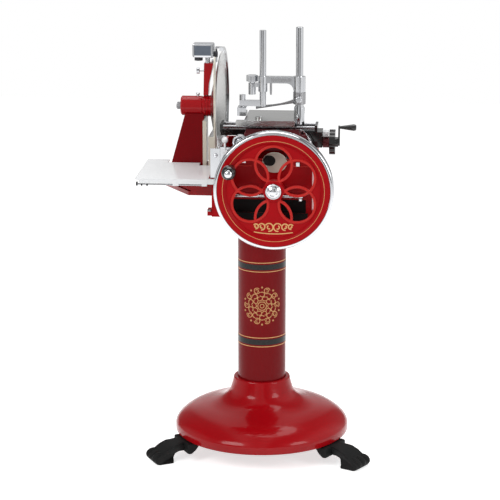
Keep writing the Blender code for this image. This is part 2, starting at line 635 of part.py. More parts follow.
TABLE_RAIL_LEFT = TABLE_X[0] - TABLE_RAIL_OVERHANG
TABLE_RAIL_Z = (TABLE_TOP - TABLE_RAIL_DROP, TABLE_TOP + TABLE_RAIL_RISE)
TABLE_NUB_X = TABLE_X[0] + TABLE_NUB_INSET
TABLE_NUB_TOP = TABLE_TOP + TABLE_NUB_RISE
SLIDE_X = (TABLE_X[0] + SLIDE_INSETS[0], TABLE_X[1] - SLIDE_INSETS[1])
SLIDE_TOP = TABLE_TOP - TABLE_THICKNESS - SEAT
NUT_X = (SLIDE_X[0] + NUT_INSET, SLIDE_X[0] + NUT_INSET + NUT_WIDTH)
NUT_BOTTOM = FEED_Z - NUT_DROP

# Post, press and clamp
POST_X = TABLE_X[1] + POST_GAP
POST_TOP = TABLE_TOP + POST_HEIGHT
POST_FOOT_BOTTOM = TABLE_TOP - POST_FOOT_DROP
POST_FOOT_TOP = TABLE_TOP + POST_FOOT_HEIGHT
CLAMP_Z = (POST_FOOT_TOP + CLAMP_GAP, POST_FOOT_TOP + CLAMP_GAP + CLAMP_HEIGHT)
CLAMP_ARM_LEFT = POST_X - CLAMP_ARM_REACH
HEAD_Z = (CLAMP_Z[1] + HEAD_GAP, CLAMP_Z[1] + HEAD_GAP + HEAD_HEIGHT)
HEAD_ARM_Z = (HEAD_Z[1] - HEAD_ARM_DROP - HEAD_ARM_HEIGHT, HEAD_Z[1] - HEAD_ARM_DROP)
PRESS_X = POST_X - PRESS_REACH
PRESS_TOP = POST_TOP - PRESS_TOP_DROP
PRESS_BOTTOM = HEAD_Z[0] - PRESS_DROP
PRESS_SLEEVE_BOTTOM = HEAD_Z[0]
CYLINDER_X = PRESS_X - CYLINDER_REACH
CYLINDER_Z = (HEAD_Z[0] - CYLINDER_DROP, HEAD_ARM_Z[0] - HEAD_ARM_DROP)
CAP_KNOB_Z = (CYLINDER_Z[1] + SEAT, CYLINDER_Z[1] + SEAT + CAP_KNOB_HEIGHT)
CLAW_Z = (PRESS_BOTTOM, PRESS_BOTTOM + CLAW_HEIGHT)
CLAW_LEFT = PRESS_X - CLAW_REACH
CLAW_STEM_X = CLAW_LEFT + CLAW_STEM_INSET
CLAW_PLATE_X = tuple(CLAW_STEM_X + shift for shift in CLAW_PLATE_SHIFTS)
CLAW_PLATE_Z = (TABLE_TOP + CLAW_PLATE_RISE, PRESS_BOTTOM - CLAW_PLATE_GAP)

# Base colour, metallic, roughness
FINISHES = {
    "red_enamel": ((0.36, 0.008, 0.012), 0.0, 0.22),
    "maroon_enamel": ((0.10, 0.006, 0.010), 0.0, 0.30),
    "chrome": ((0.78, 0.78, 0.79), 1.0, 0.12),
    "steel": ((0.62, 0.62, 0.63), 1.0, 0.28),
    "stainless": ((0.80, 0.80, 0.79), 1.0, 0.22),
    "white_enamel": ((0.84, 0.84, 0.83), 0.0, 0.20),
    "cast_iron": ((0.012, 0.012, 0.013), 0.0, 0.55),
    "black_grip": ((0.012, 0.012, 0.013), 0.0, 0.25),
    "stone": ((0.05, 0.045, 0.045), 0.0, 0.80),
}

# which two coordinates an outline gives, and which one it is extruded along
PLANES = {"XY": "XYZ", "XZ": "XZY", "YZ": "YZX"}
SPIN_TURNS = {
    "X": Matrix.Rotation(pi / 2, 4, "Y"),
    "Y": Matrix.Rotation(-pi / 2, 4, "X"),
    "Z": Matrix.Identity(4),
}


def clear_scene():
    for obj in list(bpy.data.objects):
        bpy.data.objects.remove(obj)


def finish_material(name):
    """The Principled material of one finish, made on first use."""
    found = bpy.data.materials.get(name)
    if found:
        return found
    colour, metallic, roughness = FINISHES[name]
    material = bpy.data.materials.new(name)
    material.use_nodes = True
    shader = material.node_tree.nodes["Principled BSDF"]
    shader.inputs["Base Color"].default_value = (*colour, 1.0)
    shader.inputs["Metallic"].default_value = metallic
    shader.inputs["Roughness"].default_value = roughness
    return material


def pivot(name, place, parent=None):
    """An empty on a joint's axis. Its world place is kept so that pieces can hang from it."""
    empty = bpy.data.objects.new(name, None)
    bpy.context.scene.collection.objects.link(empty)
    empty["place"] = place
    if parent:
        empty.parent = parent
        empty.location = Vector(place) - Vector(parent["place"])
    return empty


def piece(name, bm, finish, body, edge=None, segments=EDGE_SEGMENTS):
    """One solid on its body, from a mesh drawn about the pedestal's axis, with its edges rounded."""
    mesh = bpy.data.meshes.new(name)
    bmesh.ops.recalc_face_normals(bm, faces=bm.faces)
    bm.to_mesh(mesh)
    bm.free()
    mesh.transform(Matrix.Translation(-Vector(body["place"])))
    mesh.shade_smooth()
    mesh.set_sharp_from_angle(angle=SMOOTH_ANGLE)
    obj = bpy.data.objects.new(name, mesh)
    bpy.context.scene.collection.objects.link(obj)
    obj.parent = body
    if finish:
        mesh.materials.append(finish_material(finish))
    if edge:
        rounding = obj.modifiers.new("rounded_edges", "BEVEL")
        rounding.width = edge
        rounding.segments = segments
        rounding.limit_method = "ANGLE"
        rounding.angle_limit = SMOOTH_ANGLE
    return obj


def combine(obj, bm, operation, edge=None):
    """Joins a helper shape to a piece, or cuts it out."""
    helper = piece(f"{obj.name}_{operation.lower()}_{len(obj.modifiers)}", bm, None, obj.parent, edge)
    helper.hide_render = True
    helper.display_type = "WIRE"
    change = obj.modifiers.new(operation.lower(), "BOOLEAN")
    change.operation = operation
    change.solver = "EXACT"
    change.object = helper
    return obj


def add(obj, bm, edge=None):
    return combine(obj, bm, "UNION", edge)


def cut(obj, bm):
    return combine(obj, bm, "DIFFERENCE")


def box(x, y, z):
    """A block between two values on each axis."""
    bm = bmesh.new()
    bmesh.ops.create_cube(bm, size=1.0)
    size = [high - low for low, high in (x, y, z)]
    centre = [(high + low) / 2 for low, high in (x, y, z)]
    bmesh.ops.scale(bm, vec=size, verts=bm.verts)
    bmesh.ops.translate(bm, vec=centre, verts=bm.verts)
    return bm


def spun(profile, axis, centre, steps=ROUND_STEPS, ring=False):
    """A turned solid. The profile gives radius and place along the axis, closed in itself for a ring."""
    bm = bmesh.new()
    points = [bm.verts.new((radius, 0, along)) for radius, along in profile]
    pairs = list(zip(points, points[1:]))
    if ring:
        pairs.append((points[-1], points[0]))
    edges = [bm.edges.new(pair) for pair in pairs]
    bmesh.ops.spin(
        bm, geom=points + edges, cent=(0, 0, 0), axis=(0, 0, 1), angle=tau, steps=steps, use_merge=True
    )
    bmesh.ops.remove_doubles(bm, verts=bm.verts, dist=WELD)
    place = Matrix.Translation(centre) @ SPIN_TURNS[axis]
    bmesh.ops.transform(bm, matrix=place, verts=bm.verts)
    return bm


def cylinder(radius, ends, axis, centre, steps=ROUND_STEPS):
    """A plain round bar. Its ends are places along its axis, and centre gives the other two."""
    low, high = ends
    return spun([(0, low), (radius, low), (radius, high), (0, high)], axis, centre, steps)


def running_hole(radius, ends, axis, centre):
    """A cutter for a hole that something of the given radius turns or slides in."""
    return cylinder(radius + RUN, ends, axis, centre)


def ring_profile(inner, outer, ends):
    low, high = ends
    return [(inner, low), (outer, low), (outer, high), (inner, high)]


def prism(outline, ends, plane):
    """An outline in one plane, extruded between two values on the third axis."""
    first, second, third = ("XYZ".index(axis) for axis in PLANES[plane])
    low, high = ends
    bm = bmesh.new()
    corners = []
    for a, b in outline:
        corner = [0, 0, 0]
        corner[first], corner[second], corner[third] = a, b, low
        corners.append(bm.verts.new(corner))
    face = bm.faces.new(corners)
    grown = bmesh.ops.extrude_face_region(bm, geom=[face])["geom"]
    shift = [0, 0, 0]
    shift[third] = high - low
    moved = [item for item in grown if isinstance(item, bmesh.types.BMVert)]
    bmesh.ops.translate(bm, vec=shift, verts=moved)
    return bm


def arc(centre, radius, start, end, steps):
    """Points along an arc, both ends included."""
    angles = [start + (end - start) * i / steps for i in range(steps + 1)]
    return [(centre[0] + radius * cos(a), centre[1] + radius * sin(a)) for a in angles]


def turn(points, angle, centre=(0, 0)):
    """Points turned about the plane's origin and then moved to a centre."""
    c, s = cos(angle), sin(angle)
    return [(centre[0] + a * c - b * s, centre[1] + a * s + b * c) for a, b in points]


def ellipse(centre, half, steps=ROUND_STEPS):
    angles = [tau * i / steps for i in range(steps)]
    return [(centre[0] + half[0] * cos(a), centre[1] + half[1] * sin(a)) for a in angles]


def lobed(radius, lobe, count, steps_each=4):
    """A circle that swells and narrows with the given number of lobes."""
    total = count * steps_each
    points = []
    for i in range(total):
        angle = tau * i / total
        reach = radius - lobe * (1 - cos(count * angle)) / 2
        points.append((reach * cos(angle), reach * sin(angle)))
    return points


def capsule(start, end, start_radius, end_radius, steps=ARC_STEPS):
    """The outline of a link with two round ends."""
    along = atan2(end[1] - start[1], end[0] - start[0])
    length = hypot(end[0] - start[0], end[1] - start[1])
    lean = acos((start_radius - end_radius) / length)
    points = arc(start, start_radius, along + lean, along + tau - lean, steps)
    return points + arc(end, end_radius, along - lean, along + lean, steps)


def pedestal_base(body):
    """A hollow bell with a flat inner flange for the feet and a socket for the column."""
    flare_top = NECK_TOP - NECK_HEIGHT
    flare = [
        (NECK_FOOT_RADIUS + (RIM_RADIUS - NECK_FOOT_RADIUS) * out, RIM_TOP + (flare_top - RIM_TOP) * up)
        for out, up in FLARE_SHARES
    ]
    outer = [
        (NECK_RADIUS - RIM_LIP, NECK_TOP),
        (NECK_RADIUS, NECK_TOP - RIM_LIP / 2),
        *flare,
        (RIM_RADIUS, RIM_BOTTOM + RIM_LIP),
        (RIM_RADIUS - RIM_LIP, RIM_BOTTOM),
    ]
    floor = RIM_BOTTOM + BASE_WALL
    socket = COLUMN_RADIUS + RUN
    bore = COLUMN_RADIUS - COLUMN_WALL
    inner = [
        (RIM_RADIUS - RIM_FLANGE, RIM_BOTTOM),
        (RIM_RADIUS - RIM_FLANGE, floor),
        (RIM_RADIUS - BASE_WALL - RIM_LIP, floor),
        *[(radius - BASE_WALL, up - BASE_WALL) for radius, up in flare[-2:3:-2]],
        (bore, NECK_TOP - SOCKET_DEPTH - BASE_WALL),
        (bore, NECK_TOP - SOCKET_DEPTH),
        (socket, NECK_TOP - SOCKET_DEPTH),
        (socket, NECK_TOP),
    ]
    bell = spun(outer + inner, "Z", (0, 0, 0), FINE_STEPS, ring=True)
    piece("pedestal_base", bell, "red_enamel", body)


def feet(body):
    """Three cast feet on the rim's flange: a wide shoulder, a short leg and a flared toe end."""
    length = FOOT_REACH - FOOT_HEEL
    height = RIM_BOTTOM - SEAT
    outline = [(FOOT_HEEL + length * along, height * up) for along, up in FOOT_SHARES]
    top = height - SEAT
    shoulder = [(FOOT_HEEL + length * along, top * up) for along, up in SHOULDER_SHARES]
    toe_start = FOOT_HEEL + length * TOE_START_SHARE
    for name, angle in FOOT_ANGLES.items():
        bm = prism(outline, (-FOOT_WIDTH / 2, FOOT_WIDTH / 2), "XZ")
        toes = [vert for vert in bm.verts if vert.co.x > toe_start]
        bmesh.ops.scale(bm, vec=(1, TOE_WIDTH / FOOT_WIDTH, 1), verts=toes)
        bmesh.ops.rotate(bm, matrix=Matrix.Rotation(angle, 3, "Z"), verts=bm.verts)
        foot = piece(name, bm, "cast_iron", body, FOOT_EDGE)
        bm = prism(shoulder, (-SHOULDER_WIDTH / 2, SHOULDER_WIDTH / 2), "XZ")
        bmesh.ops.rotate(bm, matrix=Matrix.Rotation(angle, 3, "Z"), verts=bm.verts)
        add(foot, bm, FOOT_EDGE)


def column(body):
    """The round post and the flange on its head."""
    bottom = NECK_TOP - SOCKET_DEPTH + SEAT
    tube = ring_profile(COLUMN_RADIUS - COLUMN_WALL, COLUMN_RADIUS, (bottom, COLUMN_TOP))
    piece("pedestal_column", spun(tube, "Z", (0, 0, 0), FINE_STEPS, ring=True), "red_enamel", body)
    spigot = COLUMN_RADIUS - COLUMN_WALL - RUN
    low = COLUMN_TOP + SEAT
    head = [
        (0, low - COLUMN_WALL),
        (spigot, low - COLUMN_WALL),
        (spigot, low),
        (HEAD_RADIUS, low),
        (HEAD_RADIUS, HEAD_TOP),
        (0, HEAD_TOP),
    ]
    piece("column_head", spun(head, "Z", (0, 0, 0), FINE_STEPS), "red_enamel", body)


def machine_base(body):
    """The cast box that holds the drive, open on top, with bearing blocks on its floor."""
    height = (BASE_BOTTOM, BASE_TOP)
    obj = piece(
        "machine_base",
        box((BASE_LEFT, BASE_RIGHT), (BASE_FRONT, BASE_BACK), height),
        "red_enamel",
        body,
    )
    recess = (BASE_LEFT - OVERRUN, BASE_LEFT + RECESS_DEPTH)
    cut(obj, box(recess, (RECESS_FRONT, BASE_BACK + OVERRUN), (RECESS_BOTTOM, BASE_TOP + OVERRUN)))
    inside = (BASE_LEFT + RECESS_DEPTH + CASTING_WALL, BASE_RIGHT - CASTING_WALL)
    depth = (BASE_FRONT + CASTING_WALL, BASE_BACK - CASTING_WALL)
    floor = BASE_BOTTOM + CASTING_WALL
    cut(obj, box(inside, depth, (floor, BASE_TOP + OVERRUN)))
    for left in (BASE_LEFT - LUG_REACH, BASE_RIGHT - CASTING_WALL / 2):
        right = left + LUG_REACH + CASTING_WALL / 2
        for front in (BASE_FRONT + LUG_INSET, BASE_BACK - LUG_INSET - LUG_WIDTH):
            add(obj, box((left, right), (front, front + LUG_WIDTH), (BASE_BOTTOM, BASE_BOTTOM + LUG_HEIGHT)))
    sunk = floor - CASTING_WALL / 2
    block_top = WHEEL_Z + PEDESTAL_BLOCK_HALF - CASTING_WALL
    shaft_block_y = SHAFT_BACK - BEVEL_RADIUS
    add(
        obj,
        box(
            (WHEEL_X - PEDESTAL_BLOCK_HALF, WHEEL_X + PEDESTAL_BLOCK_HALF / 2),
            (shaft_block_y - CASTING_WALL, shaft_block_y),
            (sunk, block_top),
        ),
    )
    add(
        obj,
        box(
            (CROSS_BLOCK_X, CROSS_BLOCK_X + CASTING_WALL),
            (CROSS_Y - PEDESTAL_BLOCK_HALF, CROSS_Y + PEDESTAL_BLOCK_HALF),
            (sunk, block_top),
        ),
    )
    boss = (BUSH_FRONT, BASE_FRONT + CASTING_WALL / 2)
    add(obj, cylinder(BUSH_RADIUS, boss, "Y", (WHEEL_X, 0, WHEEL_Z)))
    along_y = (BUSH_FRONT - OVERRUN, SHAFT_BACK)
    front_wall = (BASE_FRONT - OVERRUN, BASE_FRONT + CASTING_WALL + OVERRUN)
    cut(obj, running_hole(SHAFT_RADIUS, along_y, "Y", (WHEEL_X, 0, WHEEL_Z)))
    along_x = (BASE_LEFT - OVERRUN, CROSS_BLOCK_X + CASTING_WALL + OVERRUN)
    cut(obj, running_hole(CROSS_RADIUS, along_x, "X", (0, CROSS_Y, CROSS_Z)))
    for span in (WINDOW_LEFT, WINDOW_RIGHT):
        cut(obj, box(span, front_wall, (WINDOW_BOTTOM, WINDOW_TOP)))
    # the EXACT solver leaves stray edges where the two bores end in the thin bearing blocks
    for change in obj.modifiers:
        change.solver = "MANIFOLD"


def front_fittings(body):
    """The bright rail across the front wall and the plate with an inspection hole above it."""
    rail_y = BASE_FRONT - FRONT_RAIL_STAND
    rail = piece(
        "front_rail",
        cylinder(FRONT_RAIL_RADIUS, FRONT_RAIL_ENDS, "X", (0, rail_y, FRONT_RAIL_HEIGHT), SMALL_STEPS),
        "chrome",
        body,
    )
    for x in FRONT_RAIL_POSTS:
        ends = (rail_y, BASE_FRONT - SEAT)
        add(rail, cylinder(FRONT_RAIL_RADIUS * 0.8, ends, "Y", (x, 0, FRONT_RAIL_HEIGHT), SMALL_STEPS))
    ends = (BASE_FRONT - SEAT - EYE_THICKNESS, BASE_FRONT - SEAT)
    plate = piece("inspection_plate", prism(ellipse(EYE_CENTRE, EYE_HALF), ends, "XZ"), "stainless", body)
    through = (ends[0] - OVERRUN, ends[1] + OVERRUN)
    cut(plate, prism(ellipse(EYE_HOLE, EYE_HOLE_HALF), through, "XZ"))


def circle_meet(first, first_radius, second, second_radius):
    """Where two circles cross, the point left of the line from the first to the second, then the right."""
    apart = hypot(second[0] - first[0], second[1] - first[1])
    along = (apart**2 + first_radius**2 - second_radius**2) / (2 * apart)
    aside = sqrt(first_radius**2 - along**2)
    ux, uy = (second[0] - first[0]) / apart, (second[1] - first[1]) / apart
    base = (first[0] + ux * along, first[1] + uy * along)
    return (
        (base[0] - uy * aside, base[1] + ux * aside),
        (base[0] + uy * aside, base[1] - ux * aside),
    )


def angle_of(point, centre):
    return atan2(point[1] - centre[1], point[0] - centre[0])


def sector_outline():
    """The opening inside one ring of the rosette that its two neighbours leave, on the +X side."""
    centre = (ROSETTE_OFFSET, 0)
    above = (ROSETTE_OFFSET / 2, ROSETTE_OFFSET * sqrt(3) / 2)
    below = (above[0], -above[1])
    inner = ROSETTE_RADIUS - ROSETTE_RIB
    outer = ROSETTE_RADIUS + ROSETTE_RIB
    near, far = circle_meet(centre, inner, above, outer)
    if hypot(*near) > hypot(*far):
        near, far = far, near
    far_angle = angle_of(far, centre)
    near_angle = angle_of(near, centre)
    rim = arc(centre, inner, -far_angle, far_angle, 2 * ARC_STEPS)
    upper = arc(above, outer, angle_of(far, above), angle_of(near, above), ARC_STEPS)
    heel = arc(centre, inner, near_angle, tau - near_angle, ARC_STEPS // 2)
    lower = arc(below, outer, -angle_of(near, above), -angle_of(far, above), ARC_STEPS)
    return rim + upper[1:] + heel[1:] + lower[1:-1]


def petal_outline():
    """The lens that two neighbouring rings of the rosette share, lying along +X."""
    inner = ROSETTE_RADIUS - ROSETTE_RIB
    above = (ROSETTE_OFFSET * sqrt(3) / 2, ROSETTE_OFFSET / 2)
    half = acos(above[1] / inner)
    upper = arc((above[0], -above[1]), inner, pi / 2 - half, pi / 2 + half, ARC_STEPS)
    lower = arc(above, inner, -pi / 2 - half, -pi / 2 + half, ARC_STEPS)
    return upper + lower[1:-1]


def flywheel(body):
    """The wheel with its pierced rosette, its bright ring, its cap and its shaft."""
    centre = (WHEEL_X, 0, WHEEL_Z)
    web_front = WHEEL_FRONT + WEB_INSET
    web_back = web_front + WEB_THICKNESS
    rim_inner = WHEEL_RADIUS - RIM_BAND
    bore = SHAFT_RADIUS + SEAT
    hub_front = WHEEL_FRONT + HUB_INSET
    profile = [
        (bore, hub_front),
        (HUB_RADIUS, hub_front),
        (HUB_RADIUS, web_front),
        (rim_inner - WEB_INSET, web_front),
        (rim_inner, WHEEL_FRONT),
        (WHEEL_RADIUS, WHEEL_FRONT),
        (WHEEL_RADIUS, WHEEL_BACK),
        (rim_inner, WHEEL_BACK),
        (rim_inner - WEB_INSET, web_back),
        (HUB_RADIUS, web_back),
        (HUB_RADIUS, WHEEL_BACK),
        (bore, WHEEL_BACK),
    ]
    wheel = piece("flywheel", spun(profile, "Y", centre, FINE_STEPS, ring=True), "red_enamel", body)
    through = (web_front - OVERRUN, web_back + OVERRUN)
    middle = (WHEEL_X, WHEEL_Z)
    sector = tau / ROSETTE_RING_COUNT
    for i in range(ROSETTE_RING_COUNT):
        cut(wheel, prism(turn(petal_outline(), i * sector, middle), through, "XZ"))
        angle = (i + 0.5) * sector
        if abs(angle - CLOSED_SECTOR_ANGLE) > sector / 2:
            cut(wheel, prism(turn(sector_outline(), angle, middle), through, "XZ"))
    pin_hole = (WHEEL_FRONT - OVERRUN, WHEEL_BACK + OVERRUN)
    cut(wheel, cylinder(GRIP_PIN_RADIUS + SEAT, pin_hole, "Y", (GRIP_X, 0, GRIP_Z), SMALL_STEPS))
    band = (WHEEL_FRONT + WHEEL_RING_INSET, WHEEL_BACK)
    lip = WHEEL_RING_INSET
    ring = [
        (WHEEL_RADIUS + SEAT, band[0]),
        (WHEEL_RING_RADIUS - lip, band[0]),
        (WHEEL_RING_RADIUS, band[0] + lip),
        (WHEEL_RING_RADIUS, band[1] - lip),
        (WHEEL_RING_RADIUS - lip, band[1]),
        (WHEEL_RADIUS + SEAT, band[1]),
    ]
    piece("flywheel_ring", spun(ring, "Y", centre, FINE_STEPS, ring=True), "chrome", body)
    hub_face = hub_front - SEAT
    cap = [
        (0, hub_face),
        (CAP_RADIUS, hub_face),
        (CAP_RADIUS, hub_face - CAP_HEIGHT * 0.4),
        (CAP_RADIUS * 0.86, hub_face - CAP_HEIGHT * 0.75),
        (CAP_RADIUS * 0.5, hub_face - CAP_HEIGHT * 0.96),
        (0, hub_face - CAP_HEIGHT),
    ]
    piece("flywheel_cap", spun(cap, "Y", centre), "chrome", body)
    shaft = cylinder(SHAFT_RADIUS, (hub_front + SEAT, SHAFT_BACK), "Y", centre, SMALL_STEPS)
    piece("flywheel_shaft", shaft, "steel", body)
    face = GRIP_FRONT - SEAT
    pin = [
        (0, WHEEL_BACK),
        (GRIP_PIN_RADIUS, WHEEL_BACK),
        (GRIP_PIN_RADIUS, face),
        (GRIP_CAP_RADIUS, face),
        (GRIP_CAP_RADIUS * 0.8, face - GRIP_CAP_HEIGHT * 0.7),
        (0, face - GRIP_CAP_HEIGHT + SEAT),
    ]
    piece("grip_pin", spun(pin, "Y", (GRIP_X, 0, GRIP_Z), SMALL_STEPS), "chrome", body)


def flywheel_grip(body):
    """The round grip that turns on the wheel's pin."""
    shape = [
        (GRIP_RADIUS * wide, GRIP_BACK - GRIP_LENGTH * out) for wide, out in GRIP_SHARES
    ]
    bore = GRIP_PIN_RADIUS + RUN
    profile = [(bore, GRIP_BACK), *shape, (bore, GRIP_FRONT)]
    piece("flywheel_grip", spun(profile, "Y", (GRIP_X, 0, GRIP_Z), ring=True), "black_grip", body)


def gear_outline(radius, teeth, addendum, dedendum, phase):
    """A toothed circle: a narrow tip and a wide root for each tooth."""
    points = []
    for i in range(teeth):
        middle = phase + tau * i / teeth
        for reach, half in (
            (radius - dedendum, -TOOTH_ROOT_SHARE),
            (radius + addendum, -TOOTH_TIP_SHARE),
            (radius + addendum, TOOTH_TIP_SHARE),
            (radius - dedendum, TOOTH_ROOT_SHARE),
        ):
            angle = middle + half * pi / teeth
            points.append((reach * cos(angle), reach * sin(angle)))
    return points


def bevel_gear(name, phase, axis, side, apex, body):
    """A straight bevel gear whose teeth taper to the apex, on the side of it that side gives."""
    outline = gear_outline(BEVEL_RADIUS, BEVEL_TEETH, BEVEL_ADDENDUM, BEVEL_DEDENDUM, phase)
    bm = bmesh.new()
    rings = []
    for scale, along in (
        (BEVEL_FACE_SHARE, BEVEL_RADIUS * BEVEL_FACE_SHARE),
        (1.0, BEVEL_RADIUS),
    ):
        rings.append([bm.verts.new((a * scale, b * scale, side * along)) for a, b in outline])
    bm.faces.new(rings[0])
    bm.faces.new(rings[1])
    for i, (low, high) in enumerate(zip(*rings)):
        after = (i + 1) % len(outline)
        bm.faces.new((low, high, rings[1][after], rings[0][after]))
    place = Matrix.Translation(apex) @ SPIN_TURNS[axis]
    bmesh.ops.transform(bm, matrix=place, verts=bm.verts)
    return piece(name, bm, "steel", body)


def drive_train(wheel_body, cross_body, rod_body, root):
    """Bevel pair, cross shaft, crank, connecting rod, sprockets and chain."""
    apex = (WHEEL_X, CROSS_Y, CROSS_Z)
    along_y = (BASE_FRONT, CROSS_Y)
    driver = bevel_gear("driving_bevel_gear", 0, "Y", -1, apex, wheel_body)
    cut(driver, cylinder(SHAFT_RADIUS + SEAT, along_y, "Y", (WHEEL_X, 0, WHEEL_Z), SMALL_STEPS))
    half_tooth = pi / BEVEL_TEETH
    follower = bevel_gear("driven_bevel_gear", half_tooth, "X", 1, apex, cross_body)
    cross_centre = (0, CROSS_Y, CROSS_Z)
    cut(follower, cylinder(CROSS_RADIUS + SEAT, (0, CRANK_LEFT), "X", cross_centre, SMALL_STEPS))
    left = CHAIN_X - SPROCKET_HUB_LENGTH
    shaft = cylinder(CROSS_RADIUS, (left, CRANK_LEFT + CRANK_THICKNESS / 2), "X", cross_centre, SMALL_STEPS)
    piece("cross_shaft", shaft, "steel", cross_body)
    pin_at = (CROSS_Y, CROSS_Z + CRANK_THROW)
    link = capsule((CROSS_Y, CROSS_Z), pin_at, CRANK_EYE, CRANK_EYE * 0.75)
    crank = piece("carriage_crank", prism(link, (CRANK_LEFT, CRANK_RIGHT), "YZ"), "steel", cross_body)
    socket = (CRANK_LEFT - OVERRUN, CRANK_LEFT + CRANK_THICKNESS / 2 + SEAT)
    cut(crank, cylinder(CROSS_RADIUS + SEAT, socket, "X", cross_centre, SMALL_STEPS))
    pin = (CRANK_RIGHT - SEAT, ROD_RIGHT - SEAT)
    add(crank, cylinder(CRANK_PIN_RADIUS, pin, "X", (0, *pin_at), SMALL_STEPS))
    far = (CROSS_Y - ROD_LENGTH, pin_at[1])
    link = capsule(pin_at, far, ROD_EYE, ROD_WAIST + SEAT)
    rod = piece("connecting_rod", prism(link, (ROD_LEFT, ROD_RIGHT), "YZ"), "steel", rod_body)
    through = (ROD_LEFT - OVERRUN, ROD_RIGHT + OVERRUN)
    cut(rod, running_hole(CRANK_PIN_RADIUS, through, "X", (0, *pin_at)))
    sprocket("drive_sprocket", LOWER_RADIUS, LOWER_TEETH, CROSS_Z, CROSS_RADIUS, SPROCKET_HUB, cross_body)
    loop = chain_outline(CHAIN_HALF)
    chain_x = (CHAIN_X - CHAIN_WIDTH / 2, CHAIN_X + CHAIN_WIDTH / 2)
    chain = piece("drive_chain", prism(loop, chain_x, "YZ"), "steel", root)
    through = (chain_x[0] - OVERRUN, chain_x[1] + OVERRUN)
    cut(chain, prism(chain_outline(-CHAIN_HALF), through, "YZ"))


def chain_outline(offset):
    """The racetrack round both sprockets, a little outside or inside the pitch line."""
    return capsule(
        (CROSS_Y, CROSS_Z),
        (CROSS_Y, BLADE_Z),
        LOWER_RADIUS + offset,
        UPPER_RADIUS + offset,
        4 * ARC_STEPS,
    )


def sprocket(name, radius, teeth, z, bore, hub, body):
    """A chain wheel just inside the chain, with a hub on its left."""
    reach = radius - CHAIN_HALF - SEAT
    half = SPROCKET_WIDTH / 2
    outline = gear_outline(reach, teeth, 0, CHAIN_HALF / 2, 0)
    turned = [(CROSS_Y + a, z + b) for a, b in outline]
    wheel = piece(name, prism(turned, (CHAIN_X - half, CHAIN_X + half), "YZ"), "steel", body)
    ends = (CHAIN_X - SPROCKET_HUB_LENGTH, CHAIN_X)
    add(wheel, cylinder(hub, ends, "X", (0, CROSS_Y, z), SMALL_STEPS))
    through = (ends[0] - OVERRUN, CHAIN_X + half + OVERRUN)
    cut(wheel, cylinder(bore + SEAT, through, "X", (0, CROSS_Y, z), SMALL_STEPS))


def side_arm(body):
    """The bracket on the base's left that carries the pillar, the tray and the cross shaft."""
    wall = BASE_LEFT - SEAT
    plan = [
        (ARM_CORNER_X, ARM_FRONT),
        (wall, ARM_FRONT),
        (wall, ARM_BACK),
        (ARM_LEFT, ARM_BACK),
        (ARM_LEFT, ARM_CORNER_Y),
    ]
    obj = piece("side_arm", prism(plan, (ARM_BOTTOM, ARM_PLATE_TOP), "XY"), "red_enamel", body)
    sunk = ARM_PLATE_TOP - CASTING_WALL / 2
    shelf = [
        (wall, sunk),
        (wall, ARM_SHELF_TOP),
        (ARM_SHELF_LEFT, ARM_SHELF_TOP),
        (ARM_SHELF_LEFT, ARM_SHELF_TOP - TRAY_LIP),
        (ARM_SHELF_FOOT, sunk),
    ]
    add(obj, prism(shelf, (ARM_FRONT + SEAT, ARM_SHELF_BACK), "XZ"))
    block = (PILLAR_RIGHT + SEAT, wall - SEAT)
    add(obj, box(block, (ARM_SHELF_BACK - OVERRUN, ARM_BACK - SEAT), (sunk, ARM_BLOCK_TOP)))
    along = (PILLAR_RIGHT - OVERRUN, BASE_LEFT + OVERRUN)
    cut(obj, running_hole(CROSS_RADIUS, along, "X", (0, CROSS_Y, CROSS_Z)))


def tapered(foot, top, half_foot, half_top, z, right):
    """A block with a vertical right side, whose left, front and back lean in towards the top."""
    bm = bmesh.new()
    rings = []
    for left, half, up in ((foot, half_foot, z[0]), (top, half_top, z[1])):
        corners = ((left, -half), (right, -half), (right, half), (left, half))
        rings.append([bm.verts.new((x, BLADE_Y + y, up)) for x, y in corners])
    bm.faces.new(rings[0])
    bm.faces.new(rings[1])
    for i in range(4):
        after = (i + 1) % 4
        bm.faces.new((rings[0][i], rings[0][after], rings[1][after], rings[1][i]))
    return bm


def pillar(body):
    """The hollow leaning pillar, cut to a saddle under the blade's housing."""
    foot = ARM_PLATE_TOP + SEAT
    shell = tapered(
        PILLAR_LEFT_FOOT, PILLAR_LEFT_TOP, PILLAR_HALF_FOOT, PILLAR_HALF_TOP, (foot, PILLAR_TOP), PILLAR_RIGHT
    )
    obj = piece("pillar", shell, "red_enamel", body, PILLAR_EDGE)
    inside = tapered(
        PILLAR_LEFT_FOOT + PILLAR_WALL,
        PILLAR_LEFT_TOP + PILLAR_WALL,
        PILLAR_HALF_FOOT - PILLAR_WALL,
        PILLAR_HALF_TOP - PILLAR_WALL,
        (foot - OVERRUN, PILLAR_TOP + OVERRUN),
        PILLAR_RIGHT - PILLAR_WALL,
    )
    cut(obj, inside)
    along = (PILLAR_RIGHT - PILLAR_WALL - OVERRUN, PILLAR_RIGHT + OVERRUN)
    cut(obj, running_hole(CROSS_RADIUS, along, "X", (0, CROSS_Y, CROSS_Z)))
    along = (PILLAR_LEFT_FOOT, PILLAR_RIGHT + OVERRUN)
    cut(obj, cylinder(HOUSING_FLANGE_RADIUS + SEAT, along, "X", (0, BLADE_Y, BLADE_Z)))


